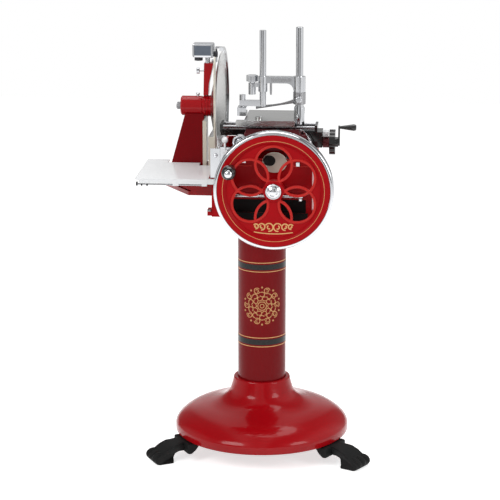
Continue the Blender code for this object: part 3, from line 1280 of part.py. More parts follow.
def blade_housing(body):
    """The bearing barrel on the pillar, hollow round the upper sprocket, with a slot for the chain."""
    inner = HOUSING_RADIUS - HOUSING_WALL
    bore = BLADE_SHAFT_RADIUS + RUN
    profile = [
        (bore, HOUSING_LEFT),
        (HOUSING_RADIUS, HOUSING_LEFT),
        (HOUSING_RADIUS, HOUSING_FLANGE_LEFT),
        (HOUSING_FLANGE_RADIUS, HOUSING_FLANGE_LEFT),
        (HOUSING_FLANGE_RADIUS, HOUSING_RIGHT),
        (bore, HOUSING_RIGHT),
        (bore, HOUSING_FLANGE_LEFT),
        (inner, HOUSING_FLANGE_LEFT),
        (inner, HOUSING_LEFT + HOUSING_WALL),
        (bore, HOUSING_LEFT + HOUSING_WALL),
    ]
    barrel = spun(profile, "X", (0, BLADE_Y, BLADE_Z), ring=True)
    obj = piece("blade_housing", barrel, "red_enamel", body)
    half = UPPER_RADIUS + CHAIN_HALF + HOUSING_WALL / 2
    slot_x = (CHAIN_X - CHAIN_WIDTH, CHAIN_X + CHAIN_WIDTH)
    slot_z = (BLADE_Z - HOUSING_FLANGE_RADIUS, BLADE_Z - HOUSING_WALL)
    cut(obj, box(slot_x, (BLADE_Y - half, BLADE_Y + half), slot_z))


def dish_x(radius):
    """Where the blade's right face lies at a radius."""
    share = (radius - BLADE_HUB_RADIUS) / (BLADE_RADIUS - BLADE_HUB_RADIUS)
    return BLADE_HUB_X + (BLADE_RIM_X - BLADE_HUB_X) * share


def blade(body):
    """The dished blade with its ground edge, its shaft with a hexagon end, and its sprocket."""
    centre = (0, BLADE_Y, BLADE_Z)
    ground = BLADE_RADIUS - BLADE_BEVEL
    bore = BLADE_SHAFT_RADIUS + SEAT
    boss = BLADE_HUB_X + BLADE_BOSS
    profile = [
        (bore, boss),
        (BLADE_BOSS_RADIUS, boss),
        (BLADE_BOSS_RADIUS, BLADE_HUB_X),
        (BLADE_HUB_RADIUS, BLADE_HUB_X),
        (BLADE_RADIUS, BLADE_RIM_X),
        (ground, dish_x(ground) - BLADE_THICKNESS),
        (BLADE_HUB_RADIUS, BLADE_HUB_X - BLADE_THICKNESS),
        (bore, BLADE_HUB_X - BLADE_THICKNESS),
    ]
    piece("blade", spun(profile, "X", centre, FINE_STEPS, ring=True), "stainless", body)
    ends = (BLADE_SHAFT_LEFT, boss - SEAT)
    shaft = piece("blade_shaft", cylinder(BLADE_SHAFT_RADIUS, ends, "X", centre, SMALL_STEPS), "steel", body)
    sprocket("blade_sprocket", UPPER_RADIUS, UPPER_TEETH, BLADE_Z, BLADE_SHAFT_RADIUS, UPPER_HUB, body)
    nut_x = (HOUSING_LEFT - SEAT - NUT_LENGTH, HOUSING_LEFT - SEAT)
    hexagon = ellipse((BLADE_Y, BLADE_Z), (NUT_RADIUS, NUT_RADIUS), 6)
    add(shaft, prism(hexagon, nut_x, "YZ"))


def angle_outline(left, flange, y, thickness):
    """A plate along Y seen from above, with a flange to the right at its front edge."""
    front, back = y
    return [
        (left, front),
        (flange, front),
        (flange, front + thickness),
        (left + thickness, front + thickness),
        (left + thickness, back),
        (left, back),
    ]


def blade_plates(body):
    """The two upright plates left of the blade that turn the slices onto the tray."""
    foot = ARM_BLOCK_TOP + SEAT
    left = PILLAR_RIGHT + SEAT
    outline = angle_outline(left, DEFLECTOR_FLANGE, DEFLECTOR_Y, DEFLECTOR_THICKNESS)
    piece("slice_deflector", prism(outline, (foot, DEFLECTOR_TOP), "XY"), "stainless", body)
    outline = angle_outline(SHIELD_X, SHIELD_FLANGE, SHIELD_Y, SHIELD_THICKNESS)
    piece("lower_shield", prism(outline, (foot, SHIELD_TOP), "XY"), "stainless", body)


def blade_guard(body):
    """The ring guard behind the blade's rim, its upper arm, its hanger and the knob on the arm."""
    centre = (BLADE_Y, BLADE_Z)
    outline = arc(centre, GUARD_OUTER, GUARD_FROM, GUARD_TO, GUARD_STEPS)
    outline += arc(centre, GUARD_INNER, GUARD_TO, GUARD_FROM, GUARD_STEPS)
    guard = piece("blade_guard", prism(outline, GUARD_X, "YZ"), "chrome", body)
    foot_x = (GUARD_FOOT_LEFT, BASE_LEFT - SEAT)
    foot_z = (ARM_BLOCK_TOP + SEAT, ARM_BLOCK_TOP + SEAT + GUARD_FOOT_HEIGHT)
    add(guard, box(foot_x, (BLADE_Y - GUARD_FOOT / 2, BLADE_Y + GUARD_FOOT / 2), foot_z))
    low = UPPER_ARM_TOP + SEAT
    top = BLADE_Z + GUARD_OUTER - SEAT
    under = BLADE_Z + (GUARD_INNER + GUARD_OUTER) / 2
    stem = [
        (HANGER_LEFT, low),
        (HANGER_STEM[1], low),
        (HANGER_STEM[1], under),
        (GUARD_X[1] - HANGER_FOOT, under),
        (GUARD_X[1] - HANGER_FOOT, top),
        (HANGER_STEM[0], top),
        (HANGER_STEM[0], low + HANGER_FOOT),
        (HANGER_LEFT, low + HANGER_FOOT),
    ]
    add(guard, prism(stem, HANGER_Y, "XZ"))
    waist = UPPER_ARM_BOTTOM + (UPPER_ARM_TOP - UPPER_ARM_BOTTOM) * UPPER_ARM_WAIST_SHARE
    outline = [
        (UPPER_ARM_FOOT[0], UPPER_ARM_BOTTOM),
        (UPPER_ARM_FOOT[1], UPPER_ARM_BOTTOM),
        (UPPER_ARM_FOOT[1] + SHIELD_THICKNESS, waist),
        (UPPER_ARM_HEAD[1], UPPER_ARM_TOP),
        (UPPER_ARM_HEAD[0], UPPER_ARM_TOP),
    ]
    arm = piece("guard_arm", prism(outline, UPPER_ARM_Y, "XZ"), "red_enamel", body)
    along = (HOUSING_LEFT, BLADE_RIM_X)
    cut(arm, cylinder(HOUSING_FLANGE_RADIUS + SEAT, along, "X", (0, *centre)))


def cover_screw(body):
    """The small bright screw on the left of the guard's arm."""
    lean = (UPPER_ARM_HEAD[0] - UPPER_ARM_FOOT[0]) / (UPPER_ARM_TOP - UPPER_ARM_BOTTOM)
    side = UPPER_ARM_FOOT[0] + lean * (COVER_SCREW_Z - COVER_SCREW_STEM - UPPER_ARM_BOTTOM)
    stem = side - SEAT
    neck = stem - COVER_SCREW_REACH
    profile = [
        (0, stem),
        (COVER_SCREW_STEM, stem),
        (COVER_SCREW_STEM, neck),
        (COVER_SCREW_RADIUS, neck),
        (COVER_SCREW_RADIUS, neck - COVER_SCREW_HEAD),
        (0, neck - COVER_SCREW_HEAD),
    ]
    middle = (0, (UPPER_ARM_Y[0] + UPPER_ARM_Y[1]) / 2, COVER_SCREW_Z)
    piece("cover_screw", spun(profile, "X", middle, SMALL_STEPS), "chrome", body)


def gauge_plate(body):
    """The upright plate in front of the cutting edge, on a foot on the base's left wall."""
    front, back = GAUGE_Y
    outline = [
        (front, GAUGE_BOTTOM),
        (back, GAUGE_BOTTOM),
        (back, GAUGE_TOP),
        (back - GAUGE_CORNER, GAUGE_TOP),
        (front, GAUGE_TOP - GAUGE_CORNER),
    ]
    obj = piece("gauge_plate", prism(outline, GAUGE_X, "YZ"), "stainless", body)
    foot = (GAUGE_X[0] + SEAT, GAUGE_FOOT_RIGHT)
    add(obj, box(foot, (front + SEAT, back - SEAT), (GAUGE_BOTTOM, GAUGE_FOOT_TOP)))


def sharpener(head_body, stone_body, hone_body):
    """The sharpener's box on its stem, with a grinding stone below and a hone on the right."""
    obj = piece("sharpener", box(SHARP_X, SHARP_Y, SHARP_Z), "chrome", head_body, SHARP_EDGE)
    stem = (UPPER_ARM_TOP + SEAT, SHARP_Z[0] + SHARP_EDGE)
    add(obj, cylinder(SHARP_STEM_RADIUS, stem, "Z", (SHARP_STEM_X, STONE_Y + SHARP_EDGE, 0), SMALL_STEPS))
    pin = (SHARP_Z[0] - STONE_HEIGHT * 0.8, SHARP_Z[0] + SHARP_EDGE)
    add(obj, cylinder(HONE_PIN, pin, "Z", (STONE_X, STONE_Y, 0), SMALL_STEPS))
    pin = (SHARP_X[1] - SHARP_EDGE, SHARP_X[1] + HONE_LENGTH * 0.8)
    add(obj, cylinder(HONE_PIN, pin, "X", (0, STONE_Y, HONE_Z), SMALL_STEPS))
    bottom = SHARP_Z[0] - SEAT - STONE_HEIGHT
    well = HONE_PIN + RUN
    top = SHARP_Z[0] - SEAT
    stone = [
        (0, bottom),
        (STONE_RADIUS, bottom),
        (STONE_RADIUS, top),
        (well, top),
        (well, bottom + STONE_HEIGHT * 0.15),
        (0, bottom + STONE_HEIGHT * 0.15),
    ]
    piece("grinding_stone", spun(stone, "Z", (STONE_X, STONE_Y, 0)), "stone", stone_body)
    face = SHARP_X[1] + SEAT
    end = face + HONE_LENGTH
    hone = [
        (0, end),
        (HONE_RADIUS, end),
        (HONE_RADIUS, face),
        (well, face),
        (well, end - HONE_LENGTH * 0.15),
        (0, end - HONE_LENGTH * 0.15),
    ]
    piece("honing_stone", spun(hone, "X", (0, STONE_Y, HONE_Z)), "stone", hone_body)


def slice_tray(body):
    """The flat tray with a lip under its front edge, notched round the pillar."""
    outline = [
        (TRAY_LEFT, TRAY_FRONT),
        (TRAY_RIGHT, TRAY_FRONT),
        (TRAY_RIGHT, TRAY_STEP_Y),
        (TRAY_NOTCH[1], TRAY_STEP_Y),
        (TRAY_NOTCH[1], TRAY_NOTCH_Y),
        (TRAY_NOTCH[0], TRAY_NOTCH_Y),
        (TRAY_NOTCH[0], TRAY_BACK),
        (TRAY_LEFT, TRAY_BACK),
    ]
    under = TRAY_TOP - TRAY_WALL
    obj = piece("slice_tray", prism(outline, (under, TRAY_TOP), "XY"), "white_enamel", body)
    foot = ARM_SHELF_TOP + SEAT
    sunk = TRAY_TOP - TRAY_WALL / 2
    front_lip = (TRAY_FRONT, TRAY_FRONT + TRAY_WALL)
    add(obj, box((TRAY_LIP_LEFT, TRAY_RIGHT - SEAT), front_lip, (TRAY_TOP - TRAY_LIP, sunk)))
    for x in (ARM_SHELF_LEFT + TRAY_LIP, BASE_LEFT - 2 * TRAY_LIP):
        leg = (x, x + TRAY_WALL)
        add(obj, box(leg, (ARM_FRONT + TRAY_WALL, TRAY_STEP_Y - TRAY_WALL), (foot, sunk)))


def dial_group(root, dial_body, lever_body):
    """The bracket on the front wall with the slice thickness dial and a ball lever."""
    left, right = BRACKET_X
    bottom, top = BRACKET_Z
    back = BASE_FRONT - SEAT
    front = back - BRACKET_THICKNESS
    outline = [
        (left, bottom + DIAL_BOSS),
        (left + BRACKET_LEG / 2, bottom),
        (left + BRACKET_LEG, bottom),
        (left + BRACKET_LEG, top - BRACKET_PLATE),
        (right, top - BRACKET_PLATE),
        (right, top),
        (left, top),
    ]
    bracket = piece("dial_bracket", prism(outline, (front, back), "XZ"), "chrome", root)
    add(bracket, cylinder(DIAL_BOSS, (front + SEAT, back - SEAT), "Y", (DIAL_X, 0, DIAL_Z)))
    face = front - SEAT
    end = face - DIAL_LENGTH
    inner = DIAL_RADIUS - DIAL_RIM
    dial = [
        (0, face),
        (DIAL_RADIUS, face),
        (DIAL_RADIUS, end + DIAL_RIM / 2),
        (DIAL_RADIUS - DIAL_RIM / 2, end),
        (inner, end),
        (inner - DIAL_RIM / 2, end + DIAL_RIM),
        (0, end + DIAL_RIM),
    ]
    piece("thickness_dial", spun(dial, "Y", (DIAL_X, 0, DIAL_Z)), "chrome", dial_body)
    middle = face - BALL_HUB_LENGTH / 2
    height = top - BALL_PIVOT_DROP
    hub = cylinder(BALL_HUB_RADIUS, (face - BALL_HUB_LENGTH, face), "Y", (BALL_X, 0, height), SMALL_STEPS)
    lever = piece("ball_lever", hub, "chrome", lever_body)
    add(lever, cylinder(BALL_STEM, (height, BALL_Z), "Z", (BALL_X, middle, 0), SMALL_STEPS))
    ball = bmesh.new()
    bmesh.ops.create_uvsphere(ball, u_segments=SMALL_STEPS, v_segments=SMALL_STEPS // 2, radius=BALL_RADIUS)
    bmesh.ops.translate(ball, vec=(BALL_X, middle, BALL_Z), verts=ball.verts)
    add(lever, ball)


def rails(body):
    """The two round rails along the base that the carriage runs on."""
    ends = (BASE_FRONT + CASTING_WALL + SEAT, BASE_BACK - CASTING_WALL - SEAT)
    for name, x in zip(("carriage_rail_left", "carriage_rail_right"), RAIL_X):
        piece(name, cylinder(RAIL_RADIUS, ends, "Y", (x, 0, RAIL_Z), SMALL_STEPS), "steel", body)


def carriage(body):
    """The carriage casting on its four bearings, with the lug that the connecting rod drives."""
    obj = piece("carriage", box(CARRIAGE_X, CARRIAGE_Y, CARRIAGE_Z), "maroon_enamel", body, CARRIAGE_EDGE)
    left, right = CARRIAGE_X
    front = CARRIAGE_Y[0]
    sunk = CARRIAGE_Z[0] + CARRIAGE_EDGE * 2
    ridge_x = (left + CARRIAGE_EDGE * 1.6, right - CARRIAGE_EDGE * 1.6)
    add(obj, box(ridge_x, (front + CARRIAGE_EDGE * 0.6, front + RIDGE_DEPTH), (sunk, RIDGE_TOP)))
    for x in RAIL_X:
        for y in BEARING_Y:
            add(obj, box((x - BEARING_HALF, x + BEARING_HALF), y, (BEARING_BOTTOM, sunk)))
        along = (CARRIAGE_Y[0] - OVERRUN, CARRIAGE_Y[1] + OVERRUN)
        cut(obj, running_hole(RAIL_RADIUS, along, "Y", (x, 0, RAIL_Z)))
    lug_y = (DRIVE_LUG_Y - DRIVE_LUG_HALF, DRIVE_LUG_Y + DRIVE_LUG_HALF)
    shelf_z = (CARRIAGE_Z[1] - DRIVE_LUG_THICKNESS * 2, CARRIAGE_Z[1] - CARRIAGE_EDGE * 1.6)
    add(obj, box((right - 2 * CARRIAGE_EDGE, DRIVE_LUG_RIGHT), lug_y, shelf_z))
    lug_y = (lug_y[0] + SEAT, lug_y[1] - SEAT)
    lug_x = (DRIVE_LUG_LEFT, DRIVE_LUG_RIGHT - SEAT)
    add(obj, box(lug_x, lug_y, (DRIVE_LUG_BOTTOM, shelf_z[1] - SEAT)))
    along = (left - OVERRUN, right + OVERRUN)
    cut(obj, running_hole(FEED_SCREW_RADIUS, along, "X", (0, 0, FEED_Z)))
    groove = (-BEAM_HALF - SEAT, BEAM_HALF + SEAT)
    cut(obj, box(along, groove, (BEAM_BOTTOM - SEAT, RIDGE_TOP)))
    slot_x = (NUT_X[0] - FEED_LEFT - SLOT_GAP, NUT_X[1] + FEED_RIGHT + SLOT_GAP)
    half = NUT_HALF + SLOT_GAP
    cut(obj, box(slot_x, (-half, half), (NUT_BOTTOM - SLOT_GAP, RIDGE_TOP)))


def feed_bed(body):
    """The black beam across the carriage, the two slide rods over it and the screw's boss."""
    left, right = CARRIAGE_X
    top = CARRIAGE_Z[1]
    beam = box((BEAM_LEFT, right + CASTING_WALL), (-BEAM_HALF, BEAM_HALF), (BEAM_BOTTOM, top))
    obj = piece("feed_beam", beam, "cast_iron", body)
    block_x = (right + SEAT, BLOCK_RIGHT)
    add(obj, box(block_x, (-BLOCK_HALF, BLOCK_HALF), (BLOCK_BOTTOM, top - SEAT)))
    add(obj, rod_end((BEAM_LEFT - SEAT, BEAM_LEFT + ROD_END_LENGTH)))
    add(obj, rod_end((SLIDE_ROD_RIGHT - ROD_END_LENGTH, SLIDE_ROD_RIGHT)))
    slot_x = (NUT_X[0] - FEED_LEFT - SLOT_GAP, NUT_X[1] + FEED_RIGHT + SLOT_GAP)
    half = NUT_HALF + SLOT_GAP
    cut(obj, box(slot_x, (-half, half), (BEAM_BOTTOM - OVERRUN, top + OVERRUN)))
    along = (right - OVERRUN, BLOCK_RIGHT + OVERRUN)
    cut(obj, running_hole(FEED_SCREW_RADIUS, along, "X", (0, 0, FEED_Z)))
    inner = (BEAM_LEFT + ROD_END_LENGTH + SEAT, SLIDE_ROD_RIGHT - ROD_END_LENGTH - SEAT)
    for name, y in (("slide_rod_front", -SLIDE_ROD_Y), ("slide_rod_rear", SLIDE_ROD_Y)):
        rod = cylinder(SLIDE_ROD_RADIUS, inner, "X", (0, y, SLIDE_ROD_Z), SMALL_STEPS)
        piece(name, rod, "chrome", body)
    boss = ring_profile(FEED_SCREW_RADIUS + RUN, FEED_BOSS_RADIUS, (BLOCK_RIGHT + SEAT, FEED_BOSS_RIGHT))
    piece("feed_boss", spun(boss, "X", (0, 0, FEED_Z), ring=True), "maroon_enamel", body)


def rod_end(x):
    """The small upright that both slide rods end in."""
    return box(x, (-ROD_END_HALF, ROD_END_HALF), (CARRIAGE_Z[1] - ROD_END_LENGTH / 2, ROD_END_TOP))


def stop_knob(body):
    """The bright knob on the carriage's front ridge that locks the table."""
    face = CARRIAGE_Y[0] + CARRIAGE_EDGE * 0.6 - SEAT
    neck = face - STOP_KNOB_REACH
    profile = [
        (0, face),
        (STOP_KNOB_STEM, face),
        (STOP_KNOB_STEM, neck),
        (STOP_KNOB_RADIUS, neck - STOP_KNOB_STEM / 2),
        (STOP_KNOB_RADIUS, neck - STOP_KNOB_LENGTH + STOP_KNOB_STEM / 2),
        (STOP_KNOB_RADIUS - STOP_KNOB_STEM / 2, neck - STOP_KNOB_LENGTH),
        (0, neck - STOP_KNOB_LENGTH),
    ]
    centre = (STOP_KNOB_X, 0, RIDGE_TOP - STOP_KNOB_STEM - STOP_KNOB_STEM / 2)
    piece("table_lock_knob", spun(profile, "Y", centre, SMALL_STEPS), "chrome", body)


def handwheel(body):
    """The feed screw with its lobed handwheel and the small crank arm on it."""
    centre = (0, 0, FEED_Z)
    along = (FEED_SCREW_LEFT, HANDWHEEL_LEFT + HANDWHEEL_THICKNESS / 2)
    piece("feed_screw", cylinder(FEED_SCREW_RADIUS, along, "X", centre), "steel", body)
    outline = lobed(HANDWHEEL_RADIUS, HANDWHEEL_LOBE, HANDWHEEL_LOBES)
    raised = [(a, FEED_Z + b) for a, b in outline]
    disc = prism(raised, (HANDWHEEL_LEFT, HANDWHEEL_RIGHT), "YZ")
    wheel = piece("feed_handwheel", disc, "black_grip", body)
    hub = (HANDWHEEL_RIGHT - SEAT, FEED_ARM_LEFT + SEAT)
    add(wheel, cylinder(HANDWHEEL_HUB, hub, "X", centre, SMALL_STEPS))
    bore = (HANDWHEEL_LEFT - OVERRUN, HANDWHEEL_LEFT + HANDWHEEL_THICKNESS / 2 + SEAT)
    cut(wheel, cylinder(FEED_SCREW_RADIUS + SEAT, bore, "X", centre, SMALL_STEPS))
    link = capsule((0, FEED_Z), (0, FEED_GRIP_Z), FEED_ARM_WIDTH, FEED_ARM_WIDTH / 2)
    add(wheel, prism(link, (FEED_ARM_LEFT, FEED_ARM_RIGHT), "YZ"))
    pin = (FEED_ARM_RIGHT - SEAT, FEED_GRIP_RIGHT - FEED_PIN_RADIUS * 2)
    add(wheel, cylinder(FEED_PIN_RADIUS, pin, "X", (0, 0, FEED_GRIP_Z), SMALL_STEPS))


def feed_grip(body):
    """The tapered black grip that turns on the feed crank's pin."""
    shape = [
        (FEED_GRIP_RADIUS * wide, FEED_GRIP_LEFT + FEED_GRIP_LENGTH * out)
        for wide, out in FEED_GRIP_SHARES
    ]
    well = FEED_PIN_RADIUS + RUN
    bottom = FEED_GRIP_RIGHT - FEED_PIN_RADIUS
    profile = [(0, bottom), (well, bottom), (well, FEED_GRIP_LEFT), *shape, (0, FEED_GRIP_RIGHT)]
    piece("feed_grip", spun(profile, "X", (0, 0, FEED_GRIP_Z), SMALL_STEPS), "black_grip", body)


def meat_table(body):
    """The table plate with its front rail, and the slide under it that runs on the rods."""
    under = TABLE_TOP - TABLE_THICKNESS
    obj = piece("meat_table", box(TABLE_X, TABLE_Y, (under, TABLE_TOP)), "stainless", body)
    front = TABLE_Y[0]
    rail = ((TABLE_RAIL_LEFT, TABLE_X[1] - SEAT), (front - TABLE_RAIL_DEPTH, front + TABLE_THICKNESS))
    add(obj, box(*rail, TABLE_RAIL_Z))
    nub = (under + TABLE_THICKNESS / 2, TABLE_NUB_TOP)
    add(obj, cylinder(TABLE_NUB_RADIUS, nub, "Z", (TABLE_NUB_X, front + TABLE_NUB_RADIUS, 0), SMALL_STEPS))
    web_bottom = SLIDE_ROD_Z + SLIDE_BOSS_RADIUS * 0.4
    slide = piece(
        "table_slide",
        box(SLIDE_X, (-SLIDE_HALF, SLIDE_HALF), (web_bottom, SLIDE_TOP)),
        "steel",
        body,
    )
    ends = (SLIDE_X[0] + SLIDE_BOSS_RADIUS / 2, SLIDE_X[1] - SLIDE_BOSS_RADIUS / 2)
    for y in (-SLIDE_ROD_Y, SLIDE_ROD_Y):
        add(slide, cylinder(SLIDE_BOSS_RADIUS, ends, "X", (0, y, SLIDE_ROD_Z)))
    add(slide, box(NUT_X, (-NUT_HALF, NUT_HALF), (NUT_BOTTOM, SLIDE_TOP - TABLE_THICKNESS)))
    for y in (-SLIDE_ROD_Y, SLIDE_ROD_Y):
        through = (SLIDE_X[0] - OVERRUN, SLIDE_X[1] + OVERRUN)
        cut(slide, running_hole(SLIDE_ROD_RADIUS, through, "X", (0, y, SLIDE_ROD_Z)))
    through = (NUT_X[0] - OVERRUN, NUT_X[1] + OVERRUN)
    cut(slide, running_hole(FEED_SCREW_RADIUS, through, "X", (0, 0, FEED_Z)))


def post(body):
    """The tall post with its foot on the table's right edge."""
    centre = (POST_X, 0, 0)
    bar = cylinder(POST_RADIUS, (POST_FOOT_BOTTOM, POST_TOP), "Z", centre)
    obj = piece("table_post", bar, "chrome", body)
    foot = [
        (0, POST_FOOT_BOTTOM - TABLE_THICKNESS),
        (POST_FOOT_RADIUS, POST_FOOT_BOTTOM - TABLE_THICKNESS),
        (POST_FOOT_RADIUS, POST_FOOT_TOP - POST_RADIUS),
        (POST_RADIUS, POST_FOOT_TOP),
        (0, POST_FOOT_TOP),
    ]
    add(obj, spun(foot, "Z", centre))
    keep_out = (TABLE_X[1] - POST_FOOT_RADIUS * 2, TABLE_X[1] + SEAT)
    half = POST_FOOT_RADIUS + OVERRUN
    cut(obj, box(keep_out, (-half, half), (TABLE_TOP - TABLE_THICKNESS - SEAT, TABLE_TOP + SEAT)))


def press_head(head_body):
    """The arm that slides on the post and guides the press rod, with its cylinder and lobed cap."""
    hub = cylinder(HEAD_HUB_RADIUS, HEAD_Z, "Z", (POST_X, 0, 0))
    obj = piece("press_head", hub, "chrome", head_body)
    inside = POST_X - HEAD_HUB_RADIUS
    left = PRESS_X
    low, high = HEAD_ARM_Z
    arm = [
        (left, low),
        (left, high),
        (POST_X, high),
        (POST_X, low - HEAD_WEB_DROP),
        *arc((inside - HEAD_WEB_DROP, low - HEAD_WEB_DROP), HEAD_WEB_DROP, 0, pi / 2, ARC_STEPS),
    ]
    add(obj, prism(arm, (-HEAD_ARM_HALF, HEAD_ARM_HALF), "XZ"))
    sleeve = (PRESS_SLEEVE_BOTTOM, high + SEAT)
    add(obj, cylinder(PRESS_SLEEVE_RADIUS, sleeve, "Z", (PRESS_X, 0, 0)))
    bridge_z = (CYLINDER_Z[1] - POST_RADIUS, CYLINDER_Z[1])
    add(obj, box((CYLINDER_X, PRESS_X), (-HEAD_ARM_HALF, HEAD_ARM_HALF), bridge_z))
    add(obj, cylinder(CYLINDER_RADIUS, CYLINDER_Z, "Z", (CYLINDER_X, 0, 0)))
    cut(obj, running_hole(POST_RADIUS, (HEAD_Z[0] - OVERRUN, POST_TOP), "Z", (POST_X, 0, 0)))
    cut(obj, running_hole(PRESS_RADIUS, (PRESS_BOTTOM, POST_TOP), "Z", (PRESS_X, 0, 0)))


def cap_knob(body):
    """The lobed knob on top of the press head's cylinder."""
    outline = [(CYLINDER_X + a, b) for a, b in lobed(CAP_KNOB_RADIUS, CAP_LOBE, CAP_LOBES)]
    lift = CAP_KNOB_STEM
    obj = piece("press_knob", prism(outline, (CAP_KNOB_Z[0] + lift, CAP_KNOB_Z[1]), "XY"), "chrome", body)
    stem = (CAP_KNOB_Z[0], CAP_KNOB_Z[1] - lift)
    add(obj, cylinder(CYLINDER_RADIUS * 0.7, stem, "Z", (CYLINDER_X, 0, 0), SMALL_STEPS))


def press_rod(body):
    """The press rod with the arm, the stem and the toothed claw that holds the meat."""
    centre = (PRESS_X, 0, 0)
    obj = piece("press_rod", cylinder(PRESS_RADIUS, (PRESS_BOTTOM, PRESS_TOP), "Z", centre), "chrome", body)
    arm = ((CLAW_LEFT, PRESS_X), (-CLAW_HALF, CLAW_HALF), CLAW_Z)
    add(obj, box(*arm))
    low, high = CLAW_PLATE_Z
    stem = (high - CLAW_STEM, CLAW_Z[1] - CLAW_STEM)
    add(obj, cylinder(CLAW_STEM, stem, "Z", (CLAW_STEM_X, 0, 0), SMALL_STEPS))
    knob = (CLAW_Z[1] - SEAT, CLAW_Z[1] + CLAW_KNOB_HEIGHT)
    add(obj, cylinder(CLAW_KNOB_RADIUS, knob, "Z", (CLAW_STEM_X, 0, 0), SMALL_STEPS))
    half = CLAW_PLATE_HALF
    step = 2 * half / CLAW_TEETH
    teeth = [(half, high), (-half, high)]
    for i in range(CLAW_TEETH):
        start = -half + i * step
        teeth += [(start, low), (start + step / 2, low + CLAW_NOTCH)]
    teeth.append((half, low))
    add(obj, prism(teeth, CLAW_PLATE_X, "YZ"))


def clamp(body, knob_body):
    """The collar on the post with its curved arm behind the press, and the knob that locks it."""
    low, high = CLAMP_Z
    obj = piece("clamp_arm", cylinder(CLAMP_RADIUS, (low, high), "Z", (POST_X, 0, 0)), "chrome", body)
    outer = POST_X
    top = high - CLAMP_ARM_DEPTH / 2
    width = outer - CLAMP_ARM_LEFT
    sweep = []
    steps = 2 * ARC_STEPS
    for i in range(steps + 1):
        angle = -pi / 2 * i / steps
        sweep.append((outer - width + width * cos(angle), top + CLAMP_ARM_DROP * sin(angle)))
    tip = (CLAMP_ARM_LEFT, top - CLAMP_ARM_DROP - CLAMP_ARM_DEPTH)
    arm_y = (CLAMP_ARM_Y - CLAMP_ARM_HALF, CLAMP_ARM_Y + CLAMP_ARM_HALF)
    add(obj, prism([*sweep, tip, (outer, low)], arm_y, "XZ"))
    bridge_x = (POST_X - CLAMP_ARM_HALF, POST_X + CLAMP_ARM_HALF)
    bridge_z = (top - CLAMP_ARM_DEPTH, top - SEAT)
    add(obj, box(bridge_x, (0, arm_y[1] - SEAT), bridge_z))
    cut(obj, running_hole(POST_RADIUS, (low - OVERRUN, high + OVERRUN), "Z", (POST_X, 0, 0)))
    face = -CLAMP_RADIUS - SEAT
    neck = face - CLAMP_KNOB_REACH
    end = neck - CLAMP_KNOB_LENGTH
    profile = [
        (0, face),
        (CLAMP_KNOB_STEM, face),
        (CLAMP_KNOB_STEM, neck),
        (CLAMP_KNOB_RADIUS, neck),
        (CLAMP_KNOB_RADIUS, end + CLAMP_KNOB_STEM / 2),
        (CLAMP_KNOB_RADIUS - CLAMP_KNOB_STEM / 2, end),
        (0, end),
    ]
    piece("clamp_knob", spun(profile, "Y", (POST_X, 0, (low + high) / 2), SMALL_STEPS), "chrome", knob_body)


def stand_on_origin(root):
    """Moves the whole machine so that the middle of its box stands on the origin."""
    bpy.context.view_layer.update()
    graph = bpy.context.evaluated_depsgraph_get()
    corners = []
    for obj in bpy.data.objects:
        if obj.type == "MESH" and not obj.hide_render:
            solid = obj.evaluated_get(graph)
            corners += [solid.matrix_world @ Vector(corner) for corner in solid.bound_box]
    low = [min(corner[i] for corner in corners) for i in range(3)]
    high = [max(corner[i] for corner in corners) for i in range(3)]
    root.location = (-(low[0] + high[0]) / 2, -(low[1] + high[1]) / 2, -low[2])


